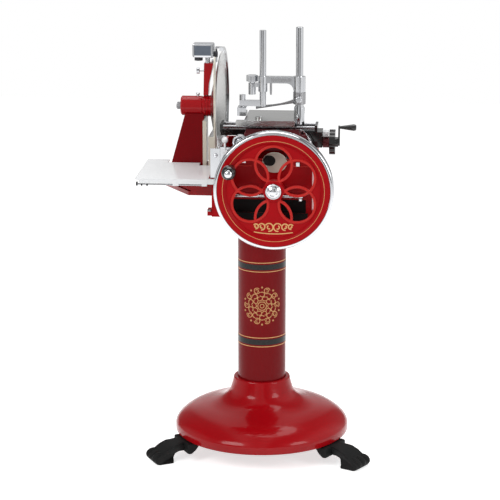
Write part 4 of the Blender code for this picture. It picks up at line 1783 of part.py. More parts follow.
def build():
    clear_scene()
    root = pivot("floor_centre", (0, 0, 0))
    wheel = pivot("flywheel_axis", (WHEEL_X, WHEEL_FRONT, WHEEL_Z), root)
    grip = pivot("flywheel_grip_axis", (GRIP_X, GRIP_BACK, GRIP_Z), wheel)
    cross = pivot("cross_shaft_axis", (CRANK_LEFT, CROSS_Y, CROSS_Z), root)
    rod = pivot("crank_pin_axis", (ROD_LEFT, CROSS_Y, CROSS_Z + CRANK_THROW), cross)
    blade_turn = pivot("blade_axis", (BLADE_HUB_X, BLADE_Y, BLADE_Z), root)
    arm_middle = (UPPER_ARM_Y[0] + UPPER_ARM_Y[1]) / 2
    screw = pivot("cover_screw_axis", (UPPER_ARM_FOOT[0], arm_middle, COVER_SCREW_Z), root)
    sharp = pivot("sharpener_slide", (SHARP_STEM_X, STONE_Y, UPPER_ARM_TOP), root)
    stone = pivot("grinding_stone_axis", (STONE_X, STONE_Y, SHARP_Z[0]), sharp)
    hone = pivot("honing_stone_axis", (SHARP_X[1], STONE_Y, HONE_Z), sharp)
    tray = pivot("tray_lift", (TRAY_LEFT, TRAY_FRONT, TRAY_TOP), root)
    gauge = pivot("gauge_slide", (GAUGE_X[0], GAUGE_Y[0], GAUGE_BOTTOM), root)
    dial = pivot("dial_axis", (DIAL_X, BASE_FRONT - BRACKET_THICKNESS, DIAL_Z), root)
    lever_y = BASE_FRONT - BRACKET_THICKNESS
    lever = pivot("ball_lever_axis", (BALL_X, lever_y, BRACKET_Z[1] - BALL_PIVOT_DROP), root)
    slide = pivot("carriage_slide", (WHEEL_X, 0, RAIL_Z), root)
    knob = pivot("table_lock_axis", (STOP_KNOB_X, CARRIAGE_Y[0], RIDGE_TOP - STOP_KNOB_STEM * 1.5), slide)
    feed = pivot("feed_screw_axis", (BLOCK_RIGHT, 0, FEED_Z), slide)
    feed_turn = pivot("feed_grip_axis", (FEED_GRIP_LEFT, 0, FEED_GRIP_Z), feed)
    table = pivot("table_slide_axis", (PRESS_X, 0, SLIDE_ROD_Z), slide)
    head = pivot("press_head_slide", (POST_X, 0, HEAD_Z[0]), table)
    press = pivot("press_rod_slide", (PRESS_X, 0, PRESS_BOTTOM), head)
    cap = pivot("press_knob_axis", (CYLINDER_X, 0, CAP_KNOB_Z[0]), head)
    swing = pivot("clamp_arm_axis", (POST_X, 0, CLAMP_Z[0]), table)
    lock = pivot("clamp_knob_axis", (POST_X, -CLAMP_RADIUS, (CLAMP_Z[0] + CLAMP_Z[1]) / 2), swing)

    pedestal_base(root)
    feet(root)
    column(root)
    machine_base(root)
    front_fittings(root)
    side_arm(root)
    pillar(root)
    blade_housing(root)
    blade_plates(root)
    blade_guard(root)
    gauge_plate(gauge)
    rails(root)
    flywheel(wheel)
    flywheel_grip(grip)
    drive_train(wheel, cross, rod, root)
    blade(blade_turn)
    cover_screw(screw)
    sharpener(sharp, stone, hone)
    slice_tray(tray)
    dial_group(root, dial, lever)
    carriage(slide)
    feed_bed(slide)
    stop_knob(knob)
    handwheel(feed)
    feed_grip(feed_turn)
    meat_table(table)
    post(table)
    press_head(head)
    cap_knob(cap)
    press_rod(press)
    clamp(swing, lock)
    stand_on_origin(root)


build()
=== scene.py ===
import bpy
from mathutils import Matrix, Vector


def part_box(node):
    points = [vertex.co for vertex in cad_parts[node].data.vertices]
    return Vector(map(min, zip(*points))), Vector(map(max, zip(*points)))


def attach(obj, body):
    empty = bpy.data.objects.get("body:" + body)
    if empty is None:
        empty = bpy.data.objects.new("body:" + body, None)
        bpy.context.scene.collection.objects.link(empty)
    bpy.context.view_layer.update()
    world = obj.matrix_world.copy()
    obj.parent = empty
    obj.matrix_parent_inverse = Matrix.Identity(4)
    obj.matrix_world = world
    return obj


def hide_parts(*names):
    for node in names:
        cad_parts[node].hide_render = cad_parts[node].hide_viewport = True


bl_info = {
    "name": "Flywheel slicer dressing",
    "version": (1, 0, 0),
    "blender": (4, 5, 0),
    "location": "View3D > Sidebar > Slicer",
    "description": "Builds the shown pieces of a hand-cranked flywheel slicer on its pedestal",
    "category": "Add Mesh",
}

from math import acos, atan2, cos, pi, radians, sin, tau

import bmesh
import bpy
from bpy.props import FloatProperty, FloatVectorProperty, IntProperty, PointerProperty
from mathutils import Matrix, Vector

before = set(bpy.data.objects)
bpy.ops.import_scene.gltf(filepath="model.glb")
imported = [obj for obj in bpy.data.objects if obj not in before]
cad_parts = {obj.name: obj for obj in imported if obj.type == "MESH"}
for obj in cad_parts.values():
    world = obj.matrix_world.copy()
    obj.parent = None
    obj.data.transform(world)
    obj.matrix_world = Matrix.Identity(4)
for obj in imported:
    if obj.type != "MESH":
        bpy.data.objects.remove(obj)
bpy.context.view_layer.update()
COLUMN = sum(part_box("pedestal_column"), Vector()) / 2
COLUMN.z = 0
AXES = {"X": Vector((1, 0, 0)), "Y": Vector((0, 1, 0)), "Z": Vector((0, 0, 1))}
SIDEWAYS = {"X": AXES["Y"], "Y": AXES["Z"], "Z": AXES["X"]}
MERGE = 1e-5
PETALS = 6
CLOSED_SECTOR = 4
BASE_DEPTH = 0.400
BLADE_BORE = 0.0105
HUB_BORE = 0.0123
GRIP_BORE = 0.0063
ENAMEL_SPECULAR = 0.10
FLOOR_GLOW = 0.66
SCREENS = (
    (0.14, 0.10), (0.28, 0.20), (0.36, 0.95), (0.48, 0.50), (0.56, 0.75), (0.63, 0.14), (0.76, 0.30), (0.86, 1.0),
)


def span(node):
    """A node's lowest and highest corner, measured from the column's own axis."""
    low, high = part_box(node)
    return low - COLUMN, high - COLUMN


def centre_of(node):
    low, high = span(node)
    return (low + high) / 2


WHEEL_LOW, WHEEL_HIGH = span("flywheel")
WHEEL = centre_of("flywheel")
BLADE = centre_of("blade")
HOUSING_LOW, HOUSING_HIGH = span("blade_housing")


# Sizes and colours

def length(name, text, value):
    return FloatProperty(name=name, description=text, default=value, min=0, unit="LENGTH", precision=5)


def place(name, text, value):
    return FloatProperty(name=name, description=text, default=value, unit="LENGTH", precision=5)


def amount(name, text, value, **more):
    return FloatProperty(name=name, description=text, default=value, **more)


def steps(name, text, value, least):
    return IntProperty(name=name, description=text, default=value, min=least)


def colour(name, text, value):
    return FloatVectorProperty(name=name, description=text, default=value, min=0, max=1, subtype="COLOR", size=3)


class FinishColours(bpy.types.PropertyGroup):
    """The colours of the slicer's enamels, metals and grips."""
    bright_red: colour("Bright red", "Enamel of the flywheel, housing and bell", (0.33, 0.002, 0.005))
    deep_red: colour("Deep red", "Enamel of the column", (0.165, 0.001, 0.003))
    # Darkened red: the carriage's red casting with painted shade
    maroon: colour("Maroon", "Red enamel of the carriage, darkened as painted shade", (0.060, 0.003, 0.008))
    # Lighter red that paints a highlight along the rosette's ribs and the base's beads
    rib_highlight_red: colour("Rib red", "Painted highlights of the rosette's ribs and the base's beads", (0.46, 0.022, 0.018))
    gold: colour("Gold", "Lines and ornament", (0.60, 0.33, 0.13))
    black_paint: colour("Black paint", "Bands round the column", (0.010, 0.008, 0.008))
    cream: colour("Cream", "Cream plates", (0.56, 0.52, 0.44))
    white: colour("White", "Slice tray", (0.74, 0.75, 0.76))
    chrome: colour("Chrome", "Plated fittings", (0.60, 0.61, 0.63))
    steel: colour("Steel", "Turned and ground steel", (0.34, 0.34, 0.35))
    stainless: colour("Stainless", "Blade and table", (0.50, 0.50, 0.49))
    cast_black: colour("Cast black", "Feet", (0.012, 0.012, 0.013))
    grip_black: colour("Grip black", "Grips and handwheel", (0.010, 0.010, 0.011))
    glass: colour("Glass", "Dark glass of the inspection eye", (0.012, 0.010, 0.010))
    panel: colour("Panel", "Blue-grey panel of the sharpener", (0.10, 0.12, 0.15))
    stone: colour("Stone", "Grinding stones", (0.055, 0.055, 0.060))


class PedestalSizes(bpy.types.PropertyGroup):
    """Sizes of the bell, the column and their trim."""
    sides: steps("Sides", "Steps round the bell and the column", 144, 24)
    flare_steps: steps("Flare steps", "Steps between two points of the flare", 5, 1)
    edge: length("Edge", "Rounding of the pedestal's edges", 0.0025)
    foot_edge: length("Foot edge", "Rounding of the cast feet", 0.007)
    upper_band: place("Upper band", "Middle height of the upper black band", 0.660)
    lower_band: place("Lower band", "Middle height of the lower black band", 0.3975)
    band_width: length("Band width", "Height of a black band", 0.019)
    line_width: length("Line width", "Height of a gold line", 0.0022)
    line_gap: length("Line gap", "Red between a band and its gold line", 0.006)
    paint: length("Paint", "How far bands and lines stand proud", 0.0004)
    ornament_height: place("Ornament height", "Middle height of the gold ornament", 0.526)
    ornament_radius: length("Ornament radius", "Outer radius of the gold ornament", 0.066)
    stroke: length("Stroke", "Width of the ornament's strokes", 0.0019)


class WheelSizes(bpy.types.PropertyGroup):
    """Sizes of the flywheel's rim, web, rosette and trim."""
    sides: steps("Sides", "Steps round the flywheel", 180, 24)
    rim_band: length("Rim band", "Width of the rim's flat face", 0.022)
    web_inset: length("Web inset", "Depth of the web behind the rim's face", 0.010)
    web_thickness: length("Web thickness", "Thickness of the pierced web", 0.010)
    hub_radius: length("Hub radius", "Radius of the hub", 0.034)
    hub_inset: length("Hub inset", "Depth of the hub's face behind the rim's face", 0.003)
    circle_radius: length("Circle radius", "Radius of each of the rosette's six circles", 0.059)
    circle_offset: length("Circle offset", "Distance of a circle's centre from the wheel's", 0.088)
    rib_half_width: length("Rib half width", "Half of a rib's width", 0.0045)
    rib_height: length("Rib height", "How far a rib stands proud of the web", 0.0035)
    edge: length("Edge", "Rounding of the wheel's edges", 0.0025)
    stripe_radius: length("Stripe radius", "Radius of the gold line on the rim", 0.1655)
    stripe_width: length("Stripe width", "Width of the gold line on the rim", 0.0013)


class MachineSizes(bpy.types.PropertyGroup):
    """Sizes shared by the machine's castings, plates and fittings."""
    fitting_edge: length("Fitting edge", "Rounding of metal fittings", 0.0012)
    plate_edge: length("Plate edge", "Rounding of thin plates", 0.0005)
    turned_sides: steps("Turned sides", "Steps round a turned fitting", 64, 16)
    blade_sides: steps("Blade sides", "Steps round the blade", 180, 24)
    blade_thickness: length("Blade thickness", "Thickness of the dished blade", 0.003)
    screw_radius: length("Screw radius", "Radius of a lug's screw head", 0.0075)


class StageSizes(bpy.types.PropertyGroup):
    """The camera's place, the lamps and the floor."""
    azimuth: amount("Azimuth", "How far the camera stands to the right", radians(5), subtype="ANGLE")
    elevation: amount("Elevation", "How far the camera looks down", radians(14), subtype="ANGLE")
    distance: length("Distance", "From the camera to its target", 6.8)
    target_x: place("Target X", "Where the camera aims, to the right of the column", -0.041)
    target_height: place("Target height", "Height the camera aims at", 0.700)
    lens: amount("Lens", "Focal length in millimetres", 144.0, min=1)
    floor: length("Floor", "Width of the floor", 14.0)
    key_power: amount("Key lamp", "Power of the large front lamp", 110.0, min=0, unit="POWER")
    fill_power: amount("Fill lamp", "Power of the right lamp", 45.0, min=0, unit="POWER")
    top_power: amount("Top lamp", "Power of the overhead lamp", 60.0, min=0, unit="POWER")
    world_level: amount("World level", "Strength of the even light all round", 0.45, min=0)


class SlicerSettings(bpy.types.PropertyGroup):
    """All of the slicer's sizes and colours."""
    finishes: PointerProperty(type=FinishColours)
    pedestal: PointerProperty(type=PedestalSizes)
    wheel: PointerProperty(type=WheelSizes)
    machine: PointerProperty(type=MachineSizes)
    stage: PointerProperty(type=StageSizes)


def settings():
    return bpy.context.scene.slicer


# Each finish: colour, metallic, roughness, its spread, mottling and its scale, grain scale, bump depth, coat, stretch
# and the slot that other looks can be put into

FINISHES = {
    "wheel_enamel": ("bright_red", 0.0, 0.32, 0.05, 0.10, 9.0, 900.0, 0.00003, 0.0, (1, 1, 1), "red_enamel"),
    "bell_enamel": ("bright_red", 0.0, 0.22, 0.06, 0.12, 6.0, 700.0, 0.00003, 0.24, (1, 1, 1), "red_enamel"),
    "column_enamel": ("deep_red", 0.0, 0.24, 0.05, 0.12, 7.0, 800.0, 0.00002, 0.02, (1, 1, 1), "red_enamel"),
    # The carriage's finish is the red enamel darkened, a painted shade
    "maroon_enamel": ("maroon", 0.0, 0.28, 0.06, 0.15, 14.0, 900.0, 0.00003, 0.0, (1, 1, 1), "maroon_enamel"),
    # The lighter red finish paints a highlight on the ribs and the beads
    "rib_enamel": ("rib_highlight_red", 0.0, 0.32, 0.06, 0.12, 20.0, 900.0, 0.00003, 0.0, (1, 1, 1), "red_enamel"),
    "gold_paint": ("gold", 0.55, 0.38, 0.10, 0.18, 120.0, 1800.0, 0.00002, 0.0, (1, 1, 1), None),
    "band_paint": ("black_paint", 0.0, 0.28, 0.06, 0.20, 30.0, 900.0, 0.00002, 0.3, (1, 1, 1), None),
    "cream_enamel": ("cream", 0.0, 0.34, 0.06, 0.05, 18.0, 900.0, 0.00003, 0.25, (1, 1, 1), "white_enamel"),
    "tray_enamel": ("white", 0.0, 0.24, 0.06, 0.04, 10.0, 800.0, 0.00003, 0.3, (1, 1, 1), "white_enamel"),
    "chrome_plate": ("chrome", 1.0, 0.09, 0.04, 0.06, 25.0, 1400.0, 0.000004, 0.0, (1, 1, 1), "chrome"),
    "turned_steel": ("steel", 1.0, 0.27, 0.08, 0.10, 60.0, 2200.0, 0.00001, 0.0, (1, 1, 1), "steel"),
    "brushed_stainless": ("stainless", 1.0, 0.24, 0.07, 0.08, 30.0, 1500.0, 0.00001, 0.0, (1, 14, 14), "stainless"),
    "cast_iron": ("cast_black", 0.0, 0.50, 0.12, 0.30, 60.0, 420.0, 0.00035, 0.0, (1, 1, 1), "cast_iron"),
    "black_grip": ("grip_black", 0.0, 0.22, 0.06, 0.20, 40.0, 900.0, 0.00003, 0.4, (1, 1, 1), "black_grip"),
    "dark_glass": ("glass", 0.0, 0.30, 0.04, 0.10, 30.0, 900.0, 0.00001, 0.0, (1, 1, 1), None),
    "panel_blue": ("panel", 0.3, 0.30, 0.06, 0.12, 60.0, 900.0, 0.00002, 0.0, (1, 1, 1), None),
    "grinding_stone": ("stone", 0.0, 0.85, 0.08, 0.35, 500.0, 2500.0, 0.00025, 0.0, (1, 1, 1), "stone"),
}


def add_node(nodes, kind, **values):
    """A new shader node with its constants set on its sockets, named with _ for a space."""
    made = nodes.new(f"ShaderNode{kind}")
    for name, value in values.items():
        made.inputs[name.replace("_", " ")].default_value = value
    return made


def finish_material(name):
    """The material of one finish: its colour mottled and its gloss and surface broken up by fine noise."""
    known = bpy.data.materials.get(name)
    if known:
        return known
    tint, metallic, rough, spread, mottle, mottle_scale, grain_scale, depth, coat, stretch, _ = FINISHES[name]
    base = getattr(settings().finishes, tint)
    material = bpy.data.materials.new(name)
    material.use_nodes = True
    nodes, links = material.node_tree.nodes, material.node_tree.links
    shader = nodes["Principled BSDF"]
    specular = 0.5 if metallic else ENAMEL_SPECULAR
    for socket, value in (
        ("Metallic", metallic), ("Coat Weight", coat), ("Coat Roughness", 0.05), ("Specular IOR Level", specular),
    ):
        shader.inputs[socket].default_value = value
    where = add_node(nodes, "TexCoord")
    turn = add_node(nodes, "Mapping", Scale=stretch)
    cloud = add_node(nodes, "TexNoise", Scale=mottle_scale, Detail=4)
    wear = add_node(nodes, "TexNoise", Scale=mottle_scale * 3, Detail=6)
    grain = add_node(nodes, "TexNoise", Scale=grain_scale, Detail=2)
    shade = nodes.new("ShaderNodeMix")
    shade.data_type = "RGBA"
    shade.inputs["A"].default_value = (*[part * (1 - mottle) for part in base], 1)
    shade.inputs["B"].default_value = (*[min(1, part * (1 + mottle)) for part in base], 1)
    gloss = add_node(nodes, "MapRange", To_Min=max(0.02, rough - spread), To_Max=rough + spread)
    relief = add_node(nodes, "Bump", Strength=0.6, Distance=depth)
    for source, output, sink, socket in (
        (where, "Object", turn, "Vector"), (turn, "Vector", cloud, "Vector"), (turn, "Vector", wear, "Vector"),
        (turn, "Vector", grain, "Vector"), (cloud, "Fac", shade, "Factor"), (shade, "Result", shader, "Base Color"),
        (wear, "Fac", gloss, "Value"), (gloss, "Result", shader, "Roughness"), (grain, "Fac", relief, "Height"),
        (relief, "Normal", shader, "Normal"),
    ):
        links.new(source.outputs[output], sink.inputs[socket])
    return material


# Shaping

def turned(bm, profile, axis, centre=(0, 0, 0), sides=None, closed=False):
    """Turns a profile of (radius, place along the axis) once round the axis."""
    sides = sides or settings().machine.turned_sides
    along, out, middle = AXES[axis], SIDEWAYS[axis], Vector(centre)
    middle = middle - along * middle.dot(along)
    verts = [bm.verts.new(middle + along * place_along + out * radius) for radius, place_along in profile]
    pairs = list(zip(verts, verts[1:]))
    if closed:
        pairs.append((verts[-1], verts[0]))
    edges = [bm.edges.new(pair) for pair in pairs]
    bmesh.ops.spin(bm, geom=verts + edges, cent=middle, axis=along, angle=tau, steps=sides, use_merge=True)


def on_plane(plane, first, second, depth):
    """A point from two coordinates on a plane such as XZ and the depth along its normal."""
    spot = {plane[0]: first, plane[1]: second}
    return Vector([spot.get(axis, depth) for axis in "XYZ"])


def pressed(bm, outline, plane, ends):
    """A flat outline pushed through from one end to the other."""
    low, high = ends
    verts = [bm.verts.new(on_plane(plane, a, b, low)) for a, b in outline]
    face = bm.faces.new(verts)
    risen = bmesh.ops.extrude_face_region(bm, geom=[face], use_keep_orig=True)["geom"]
    lift = on_plane(plane, 0, 0, high - low)
    bmesh.ops.translate(bm, vec=lift, verts=[g for g in risen if isinstance(g, bmesh.types.BMVert)])


def block(bm, low, high):
    """A plain block between two corners, to be rounded with its piece."""
    size = Vector(high) - Vector(low)
    made = bmesh.ops.create_cube(bm, size=1)["verts"]
    bmesh.ops.scale(bm, vec=size, verts=made)
    bmesh.ops.translate(bm, vec=(Vector(low) + Vector(high)) / 2, verts=made)


def traced(node):
    """A merged copy of a frame node's mesh, measured from the column's axis."""
    bm = bmesh.new()
    bm.from_mesh(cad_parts[node].data)
    bmesh.ops.remove_doubles(bm, verts=bm.verts[:], dist=MERGE)
    bmesh.ops.dissolve_limit(bm, angle_limit=radians(0.5), verts=bm.verts[:], edges=bm.edges[:])
    bmesh.ops.translate(bm, vec=-COLUMN, verts=bm.verts[:])
    return bm


def smooth_line(points, each):
    """Points eased between the given ones, so that a flare has no corners."""
    eased = []
    for i in range(len(points) - 1):
        before, start = points[max(i - 1, 0)], points[i]
        end, after = points[i + 1], points[min(i + 2, len(points) - 1)]
        for step in range(each):
            t = step / each
            eased.append(tuple(
                0.5 * (2 * b + (c - a) * t + (2 * a - 5 * b + 4 * c - d) * t * t + (3 * b - a - 3 * c + d) * t ** 3)
                for a, b, c, d in zip(before, start, end, after)
            ))
    return [*eased, points[-1]]


def ribbon_arc(bm, centre, radius, start, sweep, width, depth, steps=20):
    """A flat curved stroke in the XZ plane: a short edge swung round a centre."""
    ends = [
        bm.verts.new((centre[0] + r * cos(start), depth, centre[1] + r * sin(start)))
        for r in (radius - width / 2, radius + width / 2)
    ]
    edge = bm.edges.new(ends)
    middle = (centre[0], depth, centre[1])
    bmesh.ops.spin(bm, geom=[*ends, edge], cent=middle, axis=(0, -1, 0), angle=sweep, steps=steps)


def make_piece(bm, name, body, finish, stands_for=(), edge=0.0, segments=3, sharp=38):
    """Turns a finished bmesh into a piece that rides on a body and stands for the named nodes."""
    bmesh.ops.remove_doubles(bm, verts=bm.verts[:], dist=MERGE)
    bmesh.ops.recalc_face_normals(bm, faces=bm.faces[:])
    bmesh.ops.translate(bm, vec=COLUMN, verts=bm.verts[:])
    mesh = bpy.data.meshes.new(name)
    bm.to_mesh(mesh)
    bm.free()
    piece = bpy.data.objects.new(name, mesh)
    bpy.context.scene.collection.objects.link(piece)
    mesh.polygons.foreach_set("use_smooth", [True] * len(mesh.polygons))
    mesh.materials.append(finish_material(finish))
    if edge:
        rounding = piece.modifiers.new("Rounded edges", "BEVEL")
        rounding.width = edge
        rounding.segments = segments
        rounding.limit_method = "ANGLE"
        rounding.angle_limit = radians(sharp)
    else:
        mesh.set_sharp_from_angle(angle=radians(sharp))
    shading = piece.modifiers.new("Flat faces stay flat", "WEIGHTED_NORMAL")
    shading.keep_sharp = True
    if stands_for:
        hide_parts(*stands_for)
    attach(piece, body)
    return piece


def dress(node, body, finish, edge=0.0):
    """A rounded and finished copy of a node that stands for it."""
    return make_piece(traced(node), f"{node}_dressed", body, finish, [node], edge)


def turned_piece(name, body, finish, profile, axis, centre, sides, stands_for=(), closed=False, **rounding):
    """A piece that is one turned shape."""
    bm = bmesh.new()
    turned(bm, profile, axis, centre, sides, closed)
    return make_piece(bm, name, body, finish, stands_for, **rounding)


def block_piece(name, body, finish, edge, *blocks):
    """A piece made of plain blocks, each between two corners, with rounded edges."""
    bm = bmesh.new()
    for low, high in blocks:
        block(bm, low, high)
    return make_piece(bm, name, body, finish, edge=edge)


def ringed(radius, inner, low, high):
    """The closed profile of a flat ring between two heights."""
    return [(inner, low), (radius, low), (radius, high), (inner, high)]


def keep_node(node, finish):
    """A node that stays as it is and gets its finish."""
    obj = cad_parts[node]
    obj.data.materials.clear()
    obj.data.materials.append(finish_material(finish))


# Pedestal

class SLICER_OT_bell(bpy.types.Operator):
    """Builds the bell base with its soft flare, rolled rim and neck"""
    bl_idname = "slicer.bell"
    bl_label = "Bell base"

    def execute(self, context):
        sizes = context.scene.slicer.pedestal
        low, high = span("pedestal_base")
        rim, bottom, top = high.x, low.z, high.z
        shares = (
            (0, 1), (0.037, 0.83), (0.075, 0.74), (0.13, 0.655), (0.215, 0.575), (0.37, 0.49), (0.55, 0.415),
            (0.71, 0.335), (0.82, 0.25), (0.90, 0.165), (0.96, 0.08), (0.995, 0.0),
        )
        socket, neck, foot = 0.0826, 0.097, 0.101
        rim_top = bottom + 0.031
        flare = [(foot + (rim - foot) * out, rim_top + (top - 0.022 - rim_top) * up) for out, up in shares]
        eased = smooth_line(flare, sizes.flare_steps)
        inner = [(r - 0.008, z - 0.008) for r, z in reversed(eased) if r > 0.12]
        profile = [
            (socket, top - 0.014), (socket, top - 0.001), (0.084, top), (neck - 0.004, top),
            (neck - 0.001, top - 0.0015), (neck, top - 0.005), *eased, (rim, rim_top - 0.004),
            (rim + 0.0005, rim_top - 0.010), (rim, bottom + 0.005), (rim - 0.003, bottom + 0.001),
            (rim - 0.007, bottom), (rim - 0.048, bottom), (rim - 0.048, bottom + 0.008), *inner,
        ]
        turned_piece(
            "bell_base", "stand", "bell_enamel", profile, "Z", (0, 0, 0), sizes.sides, ["pedestal_base"], True,
            sharp=60,
        )
        return {"FINISHED"}


class SLICER_OT_feet(bpy.types.Operator):
    """Builds the three cast paw feet with their knuckled toes"""
    bl_idname = "slicer.feet"
    bl_label = "Cast feet"

    def execute(self, context):
        sizes = context.scene.slicer.pedestal
        for node in ("foot_left", "foot_right", "foot_rear"):
            bm = traced(node)
            reach = centre_of(node)
            heading = atan2(reach.y, reach.x)
            for side in (-1, 0, 1):
                toe = bmesh.ops.create_uvsphere(bm, u_segments=20, v_segments=12, radius=1)["verts"]
                bmesh.ops.scale(bm, vec=(0.026, 0.0150, 0.020), verts=toe)
                bmesh.ops.translate(bm, vec=(0.394, side * 0.0285, 0.0205), verts=toe)
                bmesh.ops.rotate(bm, matrix=Matrix.Rotation(heading, 3, "Z"), verts=toe)
            make_piece(bm, f"{node}_cast", "stand", "cast_iron", [node], sizes.foot_edge, 4, 30)
        return {"FINISHED"}


class SLICER_OT_column(bpy.types.Operator):
    """Builds the column, its black bands, gold lines and head flange"""
    bl_idname = "slicer.column"
    bl_label = "Column"

    def execute(self, context):
        sizes = context.scene.slicer.pedestal
        low, high = span("pedestal_column")
        radius = high.x
        wall = 0.012
        tube = ringed(radius, radius - wall, low.z, high.z)
        turned_piece(
            "column_tube", "stand", "column_enamel", tube, "Z", (0, 0, 0), sizes.sides, ["pedestal_column"], True,
        )
        bands, lines = bmesh.new(), bmesh.new()
        proud = radius + sizes.paint
        under = radius - 0.001
        for middle in (sizes.upper_band, sizes.lower_band):
            half = sizes.band_width / 2
            band = ringed(proud, under, middle - half, middle + half)
            turned(bands, band, "Z", sides=sizes.sides, closed=True)
            for side in (-1, 1):
                line = middle + side * (half + sizes.line_gap)
                thin = sizes.line_width / 2
                strip = ringed(proud, under, line - thin, line + thin)
                turned(lines, strip, "Z", sides=sizes.sides, closed=True)
        make_piece(bands, "column_bands", "stand", "band_paint")
        make_piece(lines, "column_gold_lines", "stand", "gold_paint")
        low, high = span("column_head")
        spigot = radius - wall - 0.001
        flange = [
            (0, low.z), (spigot, low.z), (spigot, low.z + wall), (high.x, low.z + wall), (high.x, high.z),
            (0, high.z),
        ]
        turned_piece(
            "column_flange", "stand", "column_enamel", flange, "Z", (0, 0, 0), sizes.sides, ["column_head"],
            edge=sizes.edge,
        )
        return {"FINISHED"}


class SLICER_OT_column_ornament(bpy.types.Operator):
    """Lays a ring of gold arches and a star flower on the front of the column"""
    bl_idname = "slicer.column_ornament"
    bl_label = "Column ornament"

    def execute(self, context):
        sizes = context.scene.slicer.pedestal
        radius = span("pedestal_column")[1].x
        outer, stroke, middle = sizes.ornament_radius, sizes.stroke, sizes.ornament_height
        bm = bmesh.new()
        for i in range(10):
            angle = tau * i / 10
            for reach, size, turn, sweep in (
                (0.84, 0.150, 235, -300), (0.84, 0.070, 60, -260), (0.62, 0.125, 120, 280), (0.40, 0.110, 235, -250),
            ):
                lean = angle + (pi / 10 if reach == 0.62 else 0)
                spot = (outer * reach * cos(lean), outer * reach * sin(lean))
                ribbon_arc(bm, spot, outer * size, lean + radians(turn), radians(sweep), stroke, 0, 14)
            bead = (outer * 0.985 * cos(angle + pi / 10), outer * 0.985 * sin(angle + pi / 10))
            ribbon_arc(bm, bead, outer * 0.032, 0, tau, stroke, 0, 10)
        for reach in (0.10, 0.22):
            ribbon_arc(bm, (0, 0), outer * reach, 0, tau, stroke, 0, 36)
        bmesh.ops.remove_doubles(bm, verts=bm.verts[:], dist=MERGE)
        bmesh.ops.solidify(bm, geom=bm.faces[:], thickness=sizes.paint * 2)
        turn = context.scene.slicer.stage.azimuth
        for vert in bm.verts:
            angle = vert.co.x / radius - pi / 2 + turn
            out = radius + sizes.paint + vert.co.y
            vert.co = Vector((out * cos(angle), out * sin(angle), middle + vert.co.z))
        make_piece(bm, "column_ornament", "stand", "gold_paint")
        return {"FINISHED"}


# Flywheel

def circle_meet(radius, other, apart):
    """The angle at the first circle's centre, from the line of centres to where two circles meet."""
    return acos((apart ** 2 + radius ** 2 - other ** 2) / (2 * apart * radius))


def edge_arc(bm, centre, radius, start, sweep, depth, steps):
    """A chain of edges along an arc of the XZ plane, made by swinging one point."""
    first = bm.verts.new((centre[0] + radius * cos(start), depth, centre[1] + radius * sin(start)))
    bmesh.ops.spin(bm, geom=[first], cent=(centre[0], depth, centre[1]), axis=(0, -1, 0), angle=sweep, steps=steps)


def rib_arc(bm, centre, radius, start, sweep, half_width, height, depth, steps, closed):
    """A half-round rib along an arc on the web's face."""
    made = bmesh.ops.create_circle(bm, segments=14, radius=1)
    verts = made["verts"]
    bmesh.ops.scale(bm, vec=(half_width, height, 1), verts=verts)
    bmesh.ops.translate(bm, vec=(radius, 0, 0), verts=verts)
    bmesh.ops.rotate(bm, matrix=Matrix.Rotation(-start, 3, "Y"), verts=verts)
    bmesh.ops.translate(bm, vec=(centre[0], depth, centre[1]), verts=verts)
    edges = list({edge for vert in verts for edge in vert.link_edges})
    bmesh.ops.spin(
        bm, geom=verts + edges, cent=(centre[0], depth, centre[1]), axis=(0, -1, 0), angle=sweep, steps=steps,
        use_merge=closed,
    )


